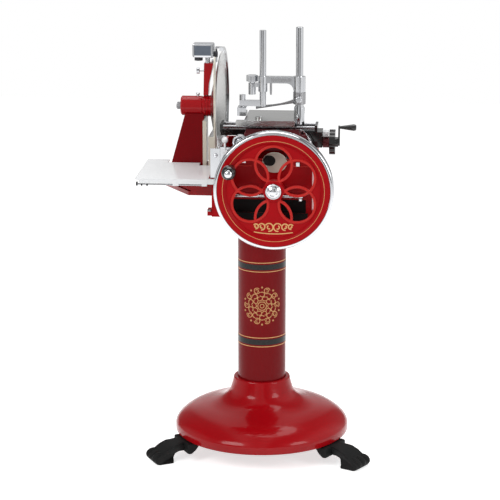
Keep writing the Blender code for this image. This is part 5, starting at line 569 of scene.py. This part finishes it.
class SLICER_OT_flywheel(bpy.types.Operator):
    """Builds the flywheel: rim, pierced web, hub, raised rosette ribs, bright ring, cap and gold line"""
    bl_idname = "slicer.flywheel"
    bl_label = "Flywheel"

    def execute(self, context):
        sizes = context.scene.slicer.wheel
        front, back = WHEEL_LOW.y, WHEEL_HIGH.y
        radius = (WHEEL_HIGH.x - WHEEL_LOW.x) / 2
        middle = (WHEEL.x, 0, WHEEL.z)
        spot = (WHEEL.x, WHEEL.z)
        web = front + sizes.web_inset
        web_back = web + sizes.web_thickness
        rim_inner = radius - sizes.rim_band
        foot = rim_inner - sizes.web_inset
        bm = bmesh.new()
        rim = [
            (foot, web), (rim_inner, front), (radius - 0.0002, front), (radius - 0.0002, back), (rim_inner, back),
            (foot, web_back),
        ]
        turned(bm, rim, "Y", middle, sizes.sides, closed=True)
        hub_front = front + sizes.hub_inset
        turned(bm, ringed(sizes.hub_radius, HUB_BORE, hub_front, back), "Y", middle, 96, closed=True)
        make_piece(bm, "wheel_rim_and_hub", "flywheel", "wheel_enamel", ["flywheel"], sizes.edge, 4)
        self.web(sizes, spot, foot + 0.002, web, web_back)
        self.ribs(sizes, spot, web)
        half, proud = sizes.stripe_width / 2, 0.0003
        stripe = [
            (sizes.stripe_radius - half, front + proud), (sizes.stripe_radius - half, front - proud),
            (sizes.stripe_radius + half, front - proud), (sizes.stripe_radius + half, front + proud),
        ]
        turned_piece("wheel_gold_line", "flywheel", "gold_paint", stripe, "Y", middle, sizes.sides, closed=True)
        low, high = span("flywheel_ring")
        outer = (high.x - low.x) / 2
        crown = (low.y + high.y) / 2
        ring = [
            (radius + 0.0003, low.y), (outer - 0.005, low.y), (outer - 0.0015, low.y + 0.003), (outer, low.y + 0.010),
            (outer, crown), (outer, high.y - 0.010), (outer - 0.0015, high.y - 0.003), (outer - 0.005, high.y),
            (radius + 0.0003, high.y),
        ]
        turned_piece(
            "wheel_bright_ring", "flywheel", "chrome_plate", ring, "Y", middle, sizes.sides, ["flywheel_ring"], True,
            edge=0.0012, sharp=50,
        )
        cap_low, cap_high = span("flywheel_cap")
        face, rise = cap_high.y, cap_high.y - cap_low.y
        out = (cap_high.x - cap_low.x) / 2
        shares = (
            (0, 0), (1, 0), (1, 0.30), (0.97, 0.42), (0.90, 0.50), (0.86, 0.46), (0.80, 0.46), (0.77, 0.58),
            (0.66, 0.74), (0.56, 0.80), (0.52, 0.72), (0.46, 0.72), (0.43, 0.84), (0.30, 0.94), (0, 1),
        )
        cap = [(out * wide, face - rise * up) for wide, up in shares]
        turned_piece(
            "wheel_cap", "flywheel", "chrome_plate", cap, "Y", middle, 96, ["flywheel_cap"], edge=0.0005, segments=2,
        )
        return {"FINISHED"}

    def web(self, sizes, spot, outer, web, web_back):
        """The pierced web: an outline with the rosette's openings, filled and pushed through."""
        bm = bmesh.new()
        edge_arc(bm, spot, outer, 0, tau, web, 120)
        inside = sizes.circle_radius - sizes.rib_half_width + 0.001
        beyond = sizes.circle_radius + sizes.rib_half_width - 0.001
        apart = sizes.circle_offset
        lens_half = acos(apart / 2 / inside)
        near = circle_meet(inside, beyond, apart)
        far = circle_meet(beyond, inside, apart)
        for i in range(PETALS):
            petal, sector = tau * i / PETALS, tau * (i + 0.5) / PETALS
            for side in (-1, 1):
                at = petal + side * pi / PETALS
                ring = (spot[0] + apart * cos(at), spot[1] + apart * sin(at))
                to_other = petal - side * pi / 2
                edge_arc(bm, ring, inside, to_other - lens_half, 2 * lens_half, web, 16)
            if i == CLOSED_SECTOR:
                continue
            ring = (spot[0] + apart * cos(sector), spot[1] + apart * sin(sector))
            edge_arc(bm, ring, inside, sector - (2 * pi / 3 - near), 2 * (2 * pi / 3 - near), web, 36)
            edge_arc(bm, ring, inside, sector + 2 * pi / 3 + near, 2 * (pi / 3 - near), web, 8)
            for side in (-1, 1):
                at = sector + side * pi / 3
                other = (spot[0] + apart * cos(at), spot[1] + apart * sin(at))
                back = sector - side * pi / 3
                edge_arc(bm, other, beyond, back - far, 2 * far, web, 20)
        bmesh.ops.remove_doubles(bm, verts=bm.verts[:], dist=MERGE)
        bmesh.ops.triangle_fill(bm, use_beauty=True, use_dissolve=False, edges=bm.edges[:])
        risen = bmesh.ops.extrude_face_region(bm, geom=bm.faces[:], use_keep_orig=True)["geom"]
        lifted = [part for part in risen if isinstance(part, bmesh.types.BMVert)]
        bmesh.ops.translate(bm, vec=(0, web_back - web, 0), verts=lifted)
        make_piece(bm, "wheel_web", "flywheel", "wheel_enamel")

    def ribs(self, sizes, spot, web):
        """Raised ribs along the six interlaced circles, left open at the closed sector."""
        bm = bmesh.new()
        apart = sizes.circle_offset
        shape = (sizes.circle_radius, sizes.rib_half_width, sizes.rib_height)
        reach = acos(apart / 2 / (shape[0] - shape[1])) + radians(3)
        for i in range(PETALS):
            angle = tau * (i + 0.5) / PETALS
            ring = (spot[0] + apart * cos(angle), spot[1] + apart * sin(angle))
            if i == CLOSED_SECTOR:
                for side in (-1, 1):
                    start = angle + side * 2 * pi / 3 - reach
                    rib_arc(bm, ring, shape[0], start, 2 * reach, shape[1], shape[2], web, 30, False)
            else:
                rib_arc(bm, ring, shape[0], angle, tau, shape[1], shape[2], web, 84, True)
        # The ribs are lighter red: a painted highlight along their edges
        make_piece(bm, "wheel_ribs", "flywheel", "rib_enamel", sharp=80)


class SLICER_OT_wheel_scroll(bpy.types.Operator):
    """Lays a plain gold scroll of curls and a line on the flywheel's closed sector"""
    bl_idname = "slicer.wheel_scroll"
    bl_label = "Wheel scroll"

    def execute(self, context):
        sizes = context.scene.slicer.wheel
        depth = WHEEL_LOW.y + sizes.web_inset - 0.0003
        x, z = WHEEL.x, WHEEL.z - 0.126
        bm = bmesh.new()
        stroke = 0.0040
        for side in (-1, 1):
            for reach, size in ((0.014, 0.0130), (0.038, 0.0105), (0.057, 0.0080)):
                middle = (x + side * reach, z + 0.005 + reach * 0.06)
                start = radians(90 - side * 60)
                ribbon_arc(bm, middle, size, start, side * radians(250), stroke, depth)
                ribbon_arc(bm, middle, size * 0.42, start + side * radians(200), side * radians(200), stroke, depth)
        ribbon_arc(bm, (x, z + 0.330), 0.346, radians(270 - 10.5), radians(21), stroke * 0.8, depth, 24)
        bmesh.ops.remove_doubles(bm, verts=bm.verts[:], dist=MERGE)
        bmesh.ops.solidify(bm, geom=bm.faces[:], thickness=0.0005)
        make_piece(bm, "wheel_scroll", "flywheel", "gold_paint")
        return {"FINISHED"}


class SLICER_OT_wheel_grip(bpy.types.Operator):
    """Builds the flywheel's turned grip and its bright pin head"""
    bl_idname = "slicer.wheel_grip"
    bl_label = "Flywheel grip"

    def execute(self, context):
        low, high = span("flywheel_grip")
        middle = centre_of("flywheel_grip")
        radius, run = (high.x - low.x) / 2, high.y - low.y
        shares = (
            (0.62, 0), (0.72, 0.05), (0.66, 0.12), (0.8, 0.3), (0.96, 0.52), (1, 0.7), (0.93, 0.87), (0.74, 0.97),
            (0.56, 1),
        )
        eased = smooth_line([(radius * out, high.y - run * along) for out, along in shares], 4)
        turned_piece(
            "wheel_grip", "flywheel_grip", "black_grip", [(GRIP_BORE, high.y), *eased, (GRIP_BORE, low.y)],
            "Y", middle, 72, ["flywheel_grip"], True, sharp=60,
        )
        pin_low, pin_high = span("grip_pin")
        front, out, pin = pin_low.y, 0.0125, 0.006
        profile = [
            (0, pin_high.y), (pin, pin_high.y), (pin, low.y - 0.0005), (out, low.y - 0.0005), (out, low.y - 0.002),
            (out * 0.92, front + 0.0005), (out * 0.7, front - 0.0015), (out * 0.35, front - 0.003),
            (0, front - 0.0035),
        ]
        turned_piece(
            "grip_pin_turned", "flywheel", "chrome_plate", profile, "Y", middle, 48, ["grip_pin"],
            edge=0.0004, segments=2, sharp=50,
        )
        return {"FINISHED"}


# Machine

class SLICER_OT_machine_base(bpy.types.Operator):
    """Builds the red machine base, its front plate and rail, the side arm and the pillar"""
    bl_idname = "slicer.machine_base"
    bl_label = "Machine base"

    def execute(self, context):
        sizes = context.scene.slicer.machine
        dress("machine_base", "stand", "wheel_enamel", sizes.plate_edge)
        dress("side_arm", "stand", "bell_enamel", sizes.fitting_edge)
        dress("pillar", "stand", "column_enamel", sizes.plate_edge)
        dress("front_rail", "stand", "chrome_plate")
        dress("inspection_plate", "stand", "cream_enamel", sizes.fitting_edge)
        low, high = span("machine_base")
        eye_low, eye_high = span("inspection_plate")
        eye = (eye_low.x + 0.0245, 0, eye_low.z + 0.040)
        pane, back = 0.0205, eye_high.y - 0.0004
        turned_piece("inspection_glass", "stand", "dark_glass", [
            (0, back), (pane, back), (pane, eye_high.y - 0.0016), (0, eye_high.y - 0.0022),
        ], "Y", eye, 48)
        # Black blocks inside the base, behind its lower windows: a dark sheet that paints the shade inside the base
        front = high.y - BASE_DEPTH
        block_piece(
            "drip_pan", "stand", "cast_iron", 0.003,
            ((-0.085, front + 0.002, low.z - 0.0125), (0.165, front + 0.070, low.z - 0.0005)),
            ((-0.090, front - 0.0026, low.z - 0.0125), (0.166, front - 0.0003, low.z + 0.0175)),
            ((-0.084, front + 0.0085, low.z + 0.0085), (0.160, front + 0.0105, low.z + 0.0640)),
        )
        # The beads are lighter red: a painted highlight along the top edge of the base's front
        bead, bead_half = 1.0335, 0.0022
        block_piece("base_beads", "stand", "rib_enamel", 0.001, *[
            ((left, front - 0.0022, bead - bead_half), (right, front + 0.0004, bead + bead_half))
            for left, right in ((-0.080, -0.018), (0.112, 0.176))
        ])
        latch = bmesh.new()
        block(latch, (0.127, front - 0.0065, 1.0345), (0.139, front - 0.0003, 1.0475))
        turned(latch, [
            (0, front - 0.0003), (0.007, front - 0.0003), (0.007, front - 0.008), (0.0055, front - 0.0105),
            (0, front - 0.0115),
        ], "Y", (0.142, 0, 0.925), 32)
        make_piece(latch, "base_latch_and_knob", "stand", "chrome_plate", edge=0.0008)
        screws = bmesh.new()
        lug_low, rise = low.z + 0.020, 0.005
        for x in (low.x + 0.009, high.x - 0.009):
            for y in (low.y + 0.032, high.y - 0.032):
                turned(screws, [
                    (0, lug_low), (sizes.screw_radius, lug_low), (sizes.screw_radius, lug_low + rise * 0.6),
                    (sizes.screw_radius * 0.7, lug_low + rise), (0, lug_low + rise),
                ], "Z", (x, y, 0), 6)
        make_piece(screws, "base_screws", "stand", "turned_steel", edge=0.0005)
        return {"FINISHED"}


class SLICER_OT_blade(bpy.types.Operator):
    """Builds the dished blade, its housing with its grooves and oil cup, and its shaft"""
    bl_idname = "slicer.blade"
    bl_label = "Blade and housing"

    def execute(self, context):
        sizes = context.scene.slicer.machine
        middle = (0, BLADE.y, BLADE.z)
        low, high = span("blade")
        radius = (high.z - low.z) / 2
        hub_x, rim_x = low.x + sizes.blade_thickness, high.x
        hub, boss = 0.045, 0.026
        half_out, half_x = hub + (radius - hub) * 0.5, hub_x + (rim_x - hub_x) * 0.47
        profile = [
            (BLADE_BORE, hub_x + 0.010), (boss - 0.002, hub_x + 0.010), (boss, hub_x + 0.008), (boss, hub_x),
            (hub, hub_x),
            (half_out, half_x), (radius - 0.012, rim_x - 0.0035), (radius, rim_x), (radius - 0.006, rim_x - 0.0036),
            (half_out, half_x - 0.002), (hub, hub_x - sizes.blade_thickness),
            (BLADE_BORE, hub_x - sizes.blade_thickness),
        ]
        turned_piece(
            "dished_blade", "blade", "brushed_stainless", profile, "X", middle, sizes.blade_sides, ["blade"], True,
            sharp=14,
        )
        left, right = HOUSING_LOW.x, HOUSING_HIGH.x
        r, flange = 0.0335, 0.0365
        bore, waist = r - 0.006, flange - 0.002
        outside = [
            (bore - 0.012, left), (r - 0.004, left), (r, left + 0.004), (r, right - 0.031),
            (r - 0.0015, right - 0.030), (r - 0.0015, right - 0.027), (flange - 0.001, right - 0.026),
        ]
        for outer, inner in ((0.025, 0.019), (0.016, 0.009)):
            outside += [
                (flange, right - outer), (flange, right - inner),
                (waist, right - inner + 0.0005), (waist, right - inner + 0.0025),
            ]
        outside += [(flange, right - 0.006), (flange, right - 0.001), (flange - 0.001, right), (bore, right)]
        turned_piece(
            "blade_housing_turned", "stand", "bell_enamel",
            [*outside, (bore, left + 0.006), (bore - 0.012, left + 0.006)], "X", middle, 96, ["blade_housing"], True,
            sharp=30,
        )
        dress("blade_shaft", "blade", "turned_steel", 0.0008)
        top = BLADE.z + r
        turned_piece("housing_oil_cup", "stand", "chrome_plate", [
            (0, top - 0.002), (0.0045, top - 0.002), (0.0045, top + 0.003), (0.0065, top + 0.0045),
            (0.0065, top + 0.009), (0.0050, top + 0.0105), (0.0015, top + 0.0115), (0, top + 0.0115),
        ], "Z", (left + 0.057, BLADE.y, 0), 32, edge=0.0004)
        return {"FINISHED"}


class SLICER_OT_guards(bpy.types.Operator):
    """Builds the ring guard, its arm and screw, the deflector, the shield and the gauge plate"""
    bl_idname = "slicer.guards"
    bl_label = "Guards and plates"

    def execute(self, context):
        sizes = context.scene.slicer.machine
        dress("blade_guard", "stand", "chrome_plate", sizes.fitting_edge)
        dress("guard_arm", "stand", "bell_enamel", sizes.fitting_edge)
        dress("cover_screw", "cover_screw", "chrome_plate", 0.001)
        dress("slice_deflector", "stand", "cream_enamel", sizes.plate_edge)
        dress("lower_shield", "stand", "cream_enamel", sizes.plate_edge)
        dress("gauge_plate", "gauge_plate", "cream_enamel", sizes.plate_edge)
        return {"FINISHED"}


class SLICER_OT_sharpener(bpy.types.Operator):
    """Builds the sharpener's box and its two stones"""
    bl_idname = "slicer.sharpener"
    bl_label = "Sharpener"

    def execute(self, context):
        sizes = context.scene.slicer.machine
        dress("sharpener", "sharpener", "chrome_plate", sizes.fitting_edge)
        face = span("sharpener")[0].y
        back = face - 0.0002
        block_piece(
            "sharpener_panel", "sharpener", "panel_blue", 0.0004,
            ((-0.234, face - 0.0012, 1.3545), (-0.178, back, 1.3870)),
        )
        bars = (
            ((-0.239, 1.349), (-0.234, 1.391)), ((-0.178, 1.349), (-0.173, 1.391)),
            ((-0.2338, 1.3873), (-0.1782, 1.391)),
        )
        block_piece("sharpener_frame", "sharpener", "chrome_plate", 0.0006, *[
            ((a[0], face - 0.0032, a[1]), (b[0], back, b[1])) for a, b in bars
        ])
        dress("grinding_stone", "grinding_stone", "grinding_stone", sizes.plate_edge)
        dress("honing_stone", "honing_stone", "grinding_stone", sizes.plate_edge)
        return {"FINISHED"}


class SLICER_OT_tray(bpy.types.Operator):
    """Builds the slice tray"""
    bl_idname = "slicer.tray"
    bl_label = "Slice tray"

    def execute(self, context):
        dress("slice_tray", "slice_tray", "tray_enamel", context.scene.slicer.machine.fitting_edge)
        low, high = span("slice_tray")
        front, under = low.y, low.z
        left, right, rod = low.x + 0.006, high.x - 0.006, 0.003
        turned_piece("tray_rail", "slice_tray", "turned_steel", [
            (0, left), (rod, left), (rod, right), (0, right),
        ], "X", (0, front + 0.006, under - 0.0034), 24, edge=0.0005)
        block_piece("tray_clips", "slice_tray", "cast_iron", 0.0008, *[
            ((x, front + 0.0015, under - 0.0085), (x + 0.005, front + 0.0105, under + 0.004))
            for x in (low.x + 0.004, low.x + 0.020, low.x + 0.038)
        ])
        feet = [
            ((x, front + 0.0005, under - 0.0070), (x + wide, front + 0.0115, under + 0.002))
            for x, wide in ((low.x + 0.125, 0.020), (high.x - 0.020, 0.018))
        ]
        flap = ((high.x - 0.004, front + 0.0005, under - 0.0002), (-0.1215, front + 0.0184, high.z - 0.0004))
        block_piece("tray_blocks", "slice_tray", "tray_enamel", 0.001, *feet, flap)
        return {"FINISHED"}


class SLICER_OT_dial(bpy.types.Operator):
    """Builds the thickness dial, its bracket and the ball lever"""
    bl_idname = "slicer.dial"
    bl_label = "Thickness dial"

    def execute(self, context):
        sizes = context.scene.slicer.machine
        dress("dial_bracket", "stand", "chrome_plate", sizes.fitting_edge)
        low, high = span("dial_bracket")
        wing = bmesh.new()
        inner_top = (low.x - 0.0004, high.y - 0.0004, low.z + 0.1050)
        block(wing, (low.x - 0.0330, low.y + 0.0045, low.z + 0.0075), inner_top)
        turned(wing, [
            (0, low.y + 0.0048), (0.0065, low.y + 0.0048), (0.0065, low.y - 0.0010), (0.0050, low.y - 0.0030),
            (0, low.y - 0.0036),
        ], "Y", (low.x - 0.0150, 0, low.z + 0.0820), 32)
        make_piece(wing, "bracket_wing", "stand", "chrome_plate", edge=0.0012)
        low, high = span("thickness_dial")
        middle = centre_of("thickness_dial")
        face, end, r = high.y, low.y, (high.x - low.x) / 2
        turned_piece("thickness_dial_turned", "thickness_dial", "chrome_plate", [
            (0, face), (r, face), (r, face - 0.003), (r - 0.0015, face - 0.0035), (r - 0.0015, face - 0.005),
            (r, face - 0.0055), (r, end + 0.0025), (r - 0.0025, end), (r - 0.005, end), (r - 0.0065, end + 0.003),
            (r * 0.45, end + 0.004), (r * 0.42, end + 0.001), (r * 0.30, end + 0.0005), (0, end),
        ], "Y", middle, 72, ["thickness_dial"], edge=0.0004, segments=2)
        ticks = bmesh.new()
        count = 24
        for i in range(count):
            long = r * (0.16 if i % 4 == 0 else 0.09)
            made = bmesh.ops.create_cube(ticks, size=1)["verts"]
            bmesh.ops.scale(ticks, vec=(0.0007, 0.0004, long), verts=made)
            bmesh.ops.translate(ticks, vec=(0, 0, r * 0.74 - long / 2 - 0.0006), verts=made)
            bmesh.ops.rotate(ticks, matrix=Matrix.Rotation(tau * i / count, 3, "Y"), verts=made)
            bmesh.ops.translate(ticks, vec=(middle.x, end + 0.0031, middle.z), verts=made)
        make_piece(ticks, "dial_ticks", "thickness_dial", "band_paint")
        dress("ball_lever", "ball_lever", "tray_enamel")
        return {"FINISHED"}


class SLICER_OT_carriage(bpy.types.Operator):
    """Builds the carriage, its rails, the feed beam, the rods, the handwheel and its grip"""
    bl_idname = "slicer.carriage"
    bl_label = "Carriage and feed"

    def execute(self, context):
        sizes = context.scene.slicer.machine
        # The carriage and the feed boss take the darkened red, painted shade on the red casting
        dress("carriage", "carriage", "maroon_enamel", sizes.fitting_edge)
        dress("feed_beam", "carriage", "black_grip", sizes.fitting_edge)
        dress("feed_boss", "carriage", "maroon_enamel", sizes.fitting_edge)
        boss_low, boss_high = span("feed_boss")
        block_piece(
            "feed_cover", "carriage", "tray_enamel", 0.0015,
            ((boss_low.x - 0.0003, -0.016, boss_high.z + 0.0005), (boss_high.x - 0.003, 0.016, boss_high.z + 0.0200)),
        )
        lever = bmesh.new()
        strip = [
            (0.132, 1.128), (0.140, 1.126), (0.152, 1.112), (0.163, 1.094), (0.172, 1.078), (0.176, 1.080),
            (0.167, 1.098), (0.156, 1.116), (0.143, 1.131), (0.133, 1.133),
        ]
        pressed(lever, strip, "XZ", (-0.082, -0.077))
        make_piece(lever, "feed_lever", "carriage", "chrome_plate", edge=0.0012)
        dress("slide_rod_front", "carriage", "turned_steel", 0.0006)
        dress("slide_rod_rear", "carriage", "turned_steel", 0.0006)
        dress("carriage_rail_left", "stand", "turned_steel")
        dress("carriage_rail_right", "stand", "turned_steel")
        dress("table_lock_knob", "table_lock_knob", "chrome_plate", 0.0008)
        dress("feed_handwheel", "feed_screw", "black_grip", sizes.fitting_edge)
        dress("feed_grip", "feed_grip", "black_grip", 0.0008)
        dress("feed_screw", "feed_screw", "turned_steel")
        return {"FINISHED"}


class SLICER_OT_table(bpy.types.Operator):
    """Builds the meat table, its slide and the tall post"""
    bl_idname = "slicer.table"
    bl_label = "Meat table and post"

    def execute(self, context):
        sizes = context.scene.slicer.machine
        dress("meat_table", "table", "brushed_stainless", sizes.plate_edge)
        dress("table_slide", "table", "turned_steel", sizes.fitting_edge)
        dress("table_post", "table", "chrome_plate", 0.001)
        return {"FINISHED"}


class SLICER_OT_press(bpy.types.Operator):
    """Builds the press head, its rod with the toothed claw, the caps and the clamp"""
    bl_idname = "slicer.press"
    bl_label = "Press and clamp"

    def execute(self, context):
        sizes = context.scene.slicer.machine
        dress("press_head", "press_head", "chrome_plate", sizes.fitting_edge)
        block_piece(
            "press_arm_panel", "press_head", "turned_steel", 0.0004,
            ((0.030, -0.0118, 1.2800), (0.098, -0.0105, 1.2920)),
        )
        pin = [(0, 1.234), (0.0030, 1.236), (0.0038, 1.248), (0.0038, 1.2752), (0, 1.2752)]
        turned_piece("press_pin", "press_head", "turned_steel", pin, "Z", (0.029, 0, 0), 24, edge=0.0004)
        dress("press_rod", "press_rod", "chrome_plate", sizes.plate_edge)
        dress("press_knob", "press_knob", "chrome_plate", 0.0008)
        dress("clamp_arm", "clamp_arm", "turned_steel", sizes.fitting_edge)
        dress("clamp_knob", "clamp_knob", "chrome_plate", 0.0008)
        return {"FINISHED"}


class SLICER_OT_drive(bpy.types.Operator):
    """Gives the shafts, gears, crank, rod, sprockets and chain inside the base their finishes"""
    bl_idname = "slicer.drive"
    bl_label = "Drive inside the base"

    def execute(self, context):
        for node in ("flywheel_shaft", "cross_shaft", "blade_sprocket", "drive_sprocket", "drive_chain"):
            keep_node(node, "turned_steel")
        for node in ("driving_bevel_gear", "driven_bevel_gear", "carriage_crank", "connecting_rod"):
            keep_node(node, "cast_iron")
        return {"FINISHED"}


# Stage

class SLICER_OT_stage(bpy.types.Operator):
    """Sets the camera, the soft lamps, the white surroundings and the pale floor"""
    bl_idname = "slicer.stage"
    bl_label = "Stage"

    def execute(self, context):
        scene = context.scene
        sizes = scene.slicer.stage
        flat = cos(sizes.elevation)
        back = Vector((sin(sizes.azimuth) * flat, -cos(sizes.azimuth) * flat, sin(sizes.elevation)))
        target = COLUMN + Vector((sizes.target_x, 0, sizes.target_height))
        view = bpy.data.cameras.new("slicer_camera")
        view.lens = sizes.lens
        camera = bpy.data.objects.new("slicer_camera", view)
        camera.location = target + back * sizes.distance
        camera.rotation_euler = back.to_track_quat("Z", "Y").to_euler()
        scene.collection.objects.link(camera)
        scene.camera = camera
        self.lamp(scene, "key_lamp", (-2.6, -3.4, 3.2), 2.4, sizes.key_power)
        self.lamp(scene, "fill_lamp", (3.2, -2.2, 2.0), 1.8, sizes.fill_power)
        self.lamp(scene, "top_lamp", (0.2, 0.6, 3.8), 2.6, sizes.top_power)
        scene.view_settings.view_transform = "Standard"
        self.surroundings(scene, sizes.world_level)
        bm = bmesh.new()
        bmesh.ops.create_grid(bm, x_segments=4, y_segments=4, size=sizes.floor / 2)
        mesh = bpy.data.meshes.new("floor")
        bm.to_mesh(mesh)
        bm.free()
        mesh.materials.append(self.floor_material())
        floor = bpy.data.objects.new("floor", mesh)
        scene.collection.objects.link(floor)
        return {"FINISHED"}

    def lamp(self, scene, name, place_at, size, power):
        light = bpy.data.lights.new(name, "AREA")
        light.shape = "DISK"
        light.size = size
        light.energy = power
        lamp = bpy.data.objects.new(name, light)
        lamp.location = place_at
        aim = Vector((0, 0, 0.8)) - lamp.location
        lamp.rotation_euler = aim.to_track_quat("-Z", "Y").to_euler()
        scene.collection.objects.link(lamp)

    def seen(self, nodes, links):
        """1 for rays from the camera and for mirrored and clear ones, 0 for the rest."""
        rays = nodes.new("ShaderNodeLightPath")
        total = rays.outputs["Is Camera Ray"]
        for name in ("Is Glossy Ray", "Is Transmission Ray"):
            most = nodes.new("ShaderNodeMath")
            most.operation = "MAXIMUM"
            links.new(total, most.inputs[0])
            links.new(rays.outputs[name], most.inputs[1])
            total = most.outputs["Value"]
        return total

    def surroundings(self, scene, level):
        """White round the slicer, with the grey gaps between a studio's tall white screens for its reflections."""
        world = bpy.data.worlds.new("white_surroundings")
        world.use_nodes = True
        nodes, links = world.node_tree.nodes, world.node_tree.links
        even = nodes["Background"]
        even.inputs["Color"].default_value = (1, 1, 1, 1)
        strength = nodes.new("ShaderNodeMapRange")
        strength.inputs["To Min"].default_value = level
        strength.inputs["To Max"].default_value = 1
        links.new(self.seen(nodes, links), strength.inputs["Value"])
        heading = nodes.new("ShaderNodeSeparateXYZ")
        links.new(nodes.new("ShaderNodeTexCoord").outputs["Generated"], heading.inputs["Vector"])
        across = nodes.new("ShaderNodeMapRange")
        across.inputs["From Min"].default_value = -1
        links.new(heading.outputs["X"], across.inputs["Value"])
        screens = nodes.new("ShaderNodeValToRGB")
        stops = screens.color_ramp.elements
        for place_at, grey in SCREENS:
            stops.new(place_at).color = (grey, grey, grey, 1)
        stops[0].color = (1, 1, 1, 1)
        links.new(across.outputs["Result"], screens.inputs["Fac"])
        rays = nodes.new("ShaderNodeLightPath")
        mirrored = nodes.new("ShaderNodeMix")
        mirrored.data_type = "RGBA"
        mirrored.inputs["A"].default_value = (1, 1, 1, 1)
        links.new(rays.outputs["Is Glossy Ray"], mirrored.inputs["Factor"])
        links.new(screens.outputs["Color"], mirrored.inputs["B"])
        links.new(mirrored.outputs["Result"], even.inputs["Color"])
        links.new(strength.outputs["Result"], even.inputs["Strength"])
        scene.world = world

    def floor_material(self):
        material = bpy.data.materials.new("pale_floor")
        material.use_nodes = True
        nodes, links = material.node_tree.nodes, material.node_tree.links
        shader = nodes["Principled BSDF"]
        shader.inputs["Base Color"].default_value = (0.86, 0.86, 0.86, 1)
        shader.inputs["Roughness"].default_value = 0.9
        shader.inputs["Specular IOR Level"].default_value = 0.0
        shader.inputs["Emission Color"].default_value = (1, 1, 1, 1)
        glow = nodes.new("ShaderNodeMath")
        glow.operation = "MULTIPLY"
        glow.inputs[1].default_value = FLOOR_GLOW
        links.new(self.seen(nodes, links), glow.inputs[0])
        links.new(glow.outputs["Value"], shader.inputs["Emission Strength"])
        return material


BUILD_ORDER = (
    SLICER_OT_stage,
    SLICER_OT_bell,
    SLICER_OT_feet,
    SLICER_OT_column,
    SLICER_OT_column_ornament,
    SLICER_OT_flywheel,
    SLICER_OT_wheel_scroll,
    SLICER_OT_wheel_grip,
    SLICER_OT_machine_base,
    SLICER_OT_blade,
    SLICER_OT_guards,
    SLICER_OT_sharpener,
    SLICER_OT_tray,
    SLICER_OT_dial,
    SLICER_OT_carriage,
    SLICER_OT_table,
    SLICER_OT_press,
    SLICER_OT_drive,
)


class SLICER_PT_panel(bpy.types.Panel):
    """Lists the slicer's operators and its sizes and colours"""
    bl_idname = "SLICER_PT_panel"
    bl_label = "Flywheel slicer"
    bl_space_type = "VIEW_3D"
    bl_region_type = "UI"
    bl_category = "Slicer"

    def draw(self, context):
        for step in BUILD_ORDER:
            self.layout.operator(step.bl_idname, text=step.bl_label)
        for group in ("finishes", "pedestal", "wheel", "machine", "stage"):
            values = getattr(context.scene.slicer, group)
            box = self.layout.box()
            box.label(text=group.capitalize())
            for name in values.__annotations__:
                box.prop(values, name)


CLASSES = (
    FinishColours,
    PedestalSizes,
    WheelSizes,
    MachineSizes,
    StageSizes,
    SlicerSettings,
    *BUILD_ORDER,
    SLICER_PT_panel,
)


def register():
    for cls in CLASSES:
        bpy.utils.register_class(cls)
    bpy.types.Scene.slicer = PointerProperty(type=SlicerSettings)


def unregister():
    del bpy.types.Scene.slicer
    for cls in reversed(CLASSES):
        bpy.utils.unregister_class(cls)


def main():
    register()
    for step in BUILD_ORDER:
        group, name = step.bl_idname.split(".")
        getattr(getattr(bpy.ops, group), name)()


if __name__ == "__main__":
    main()
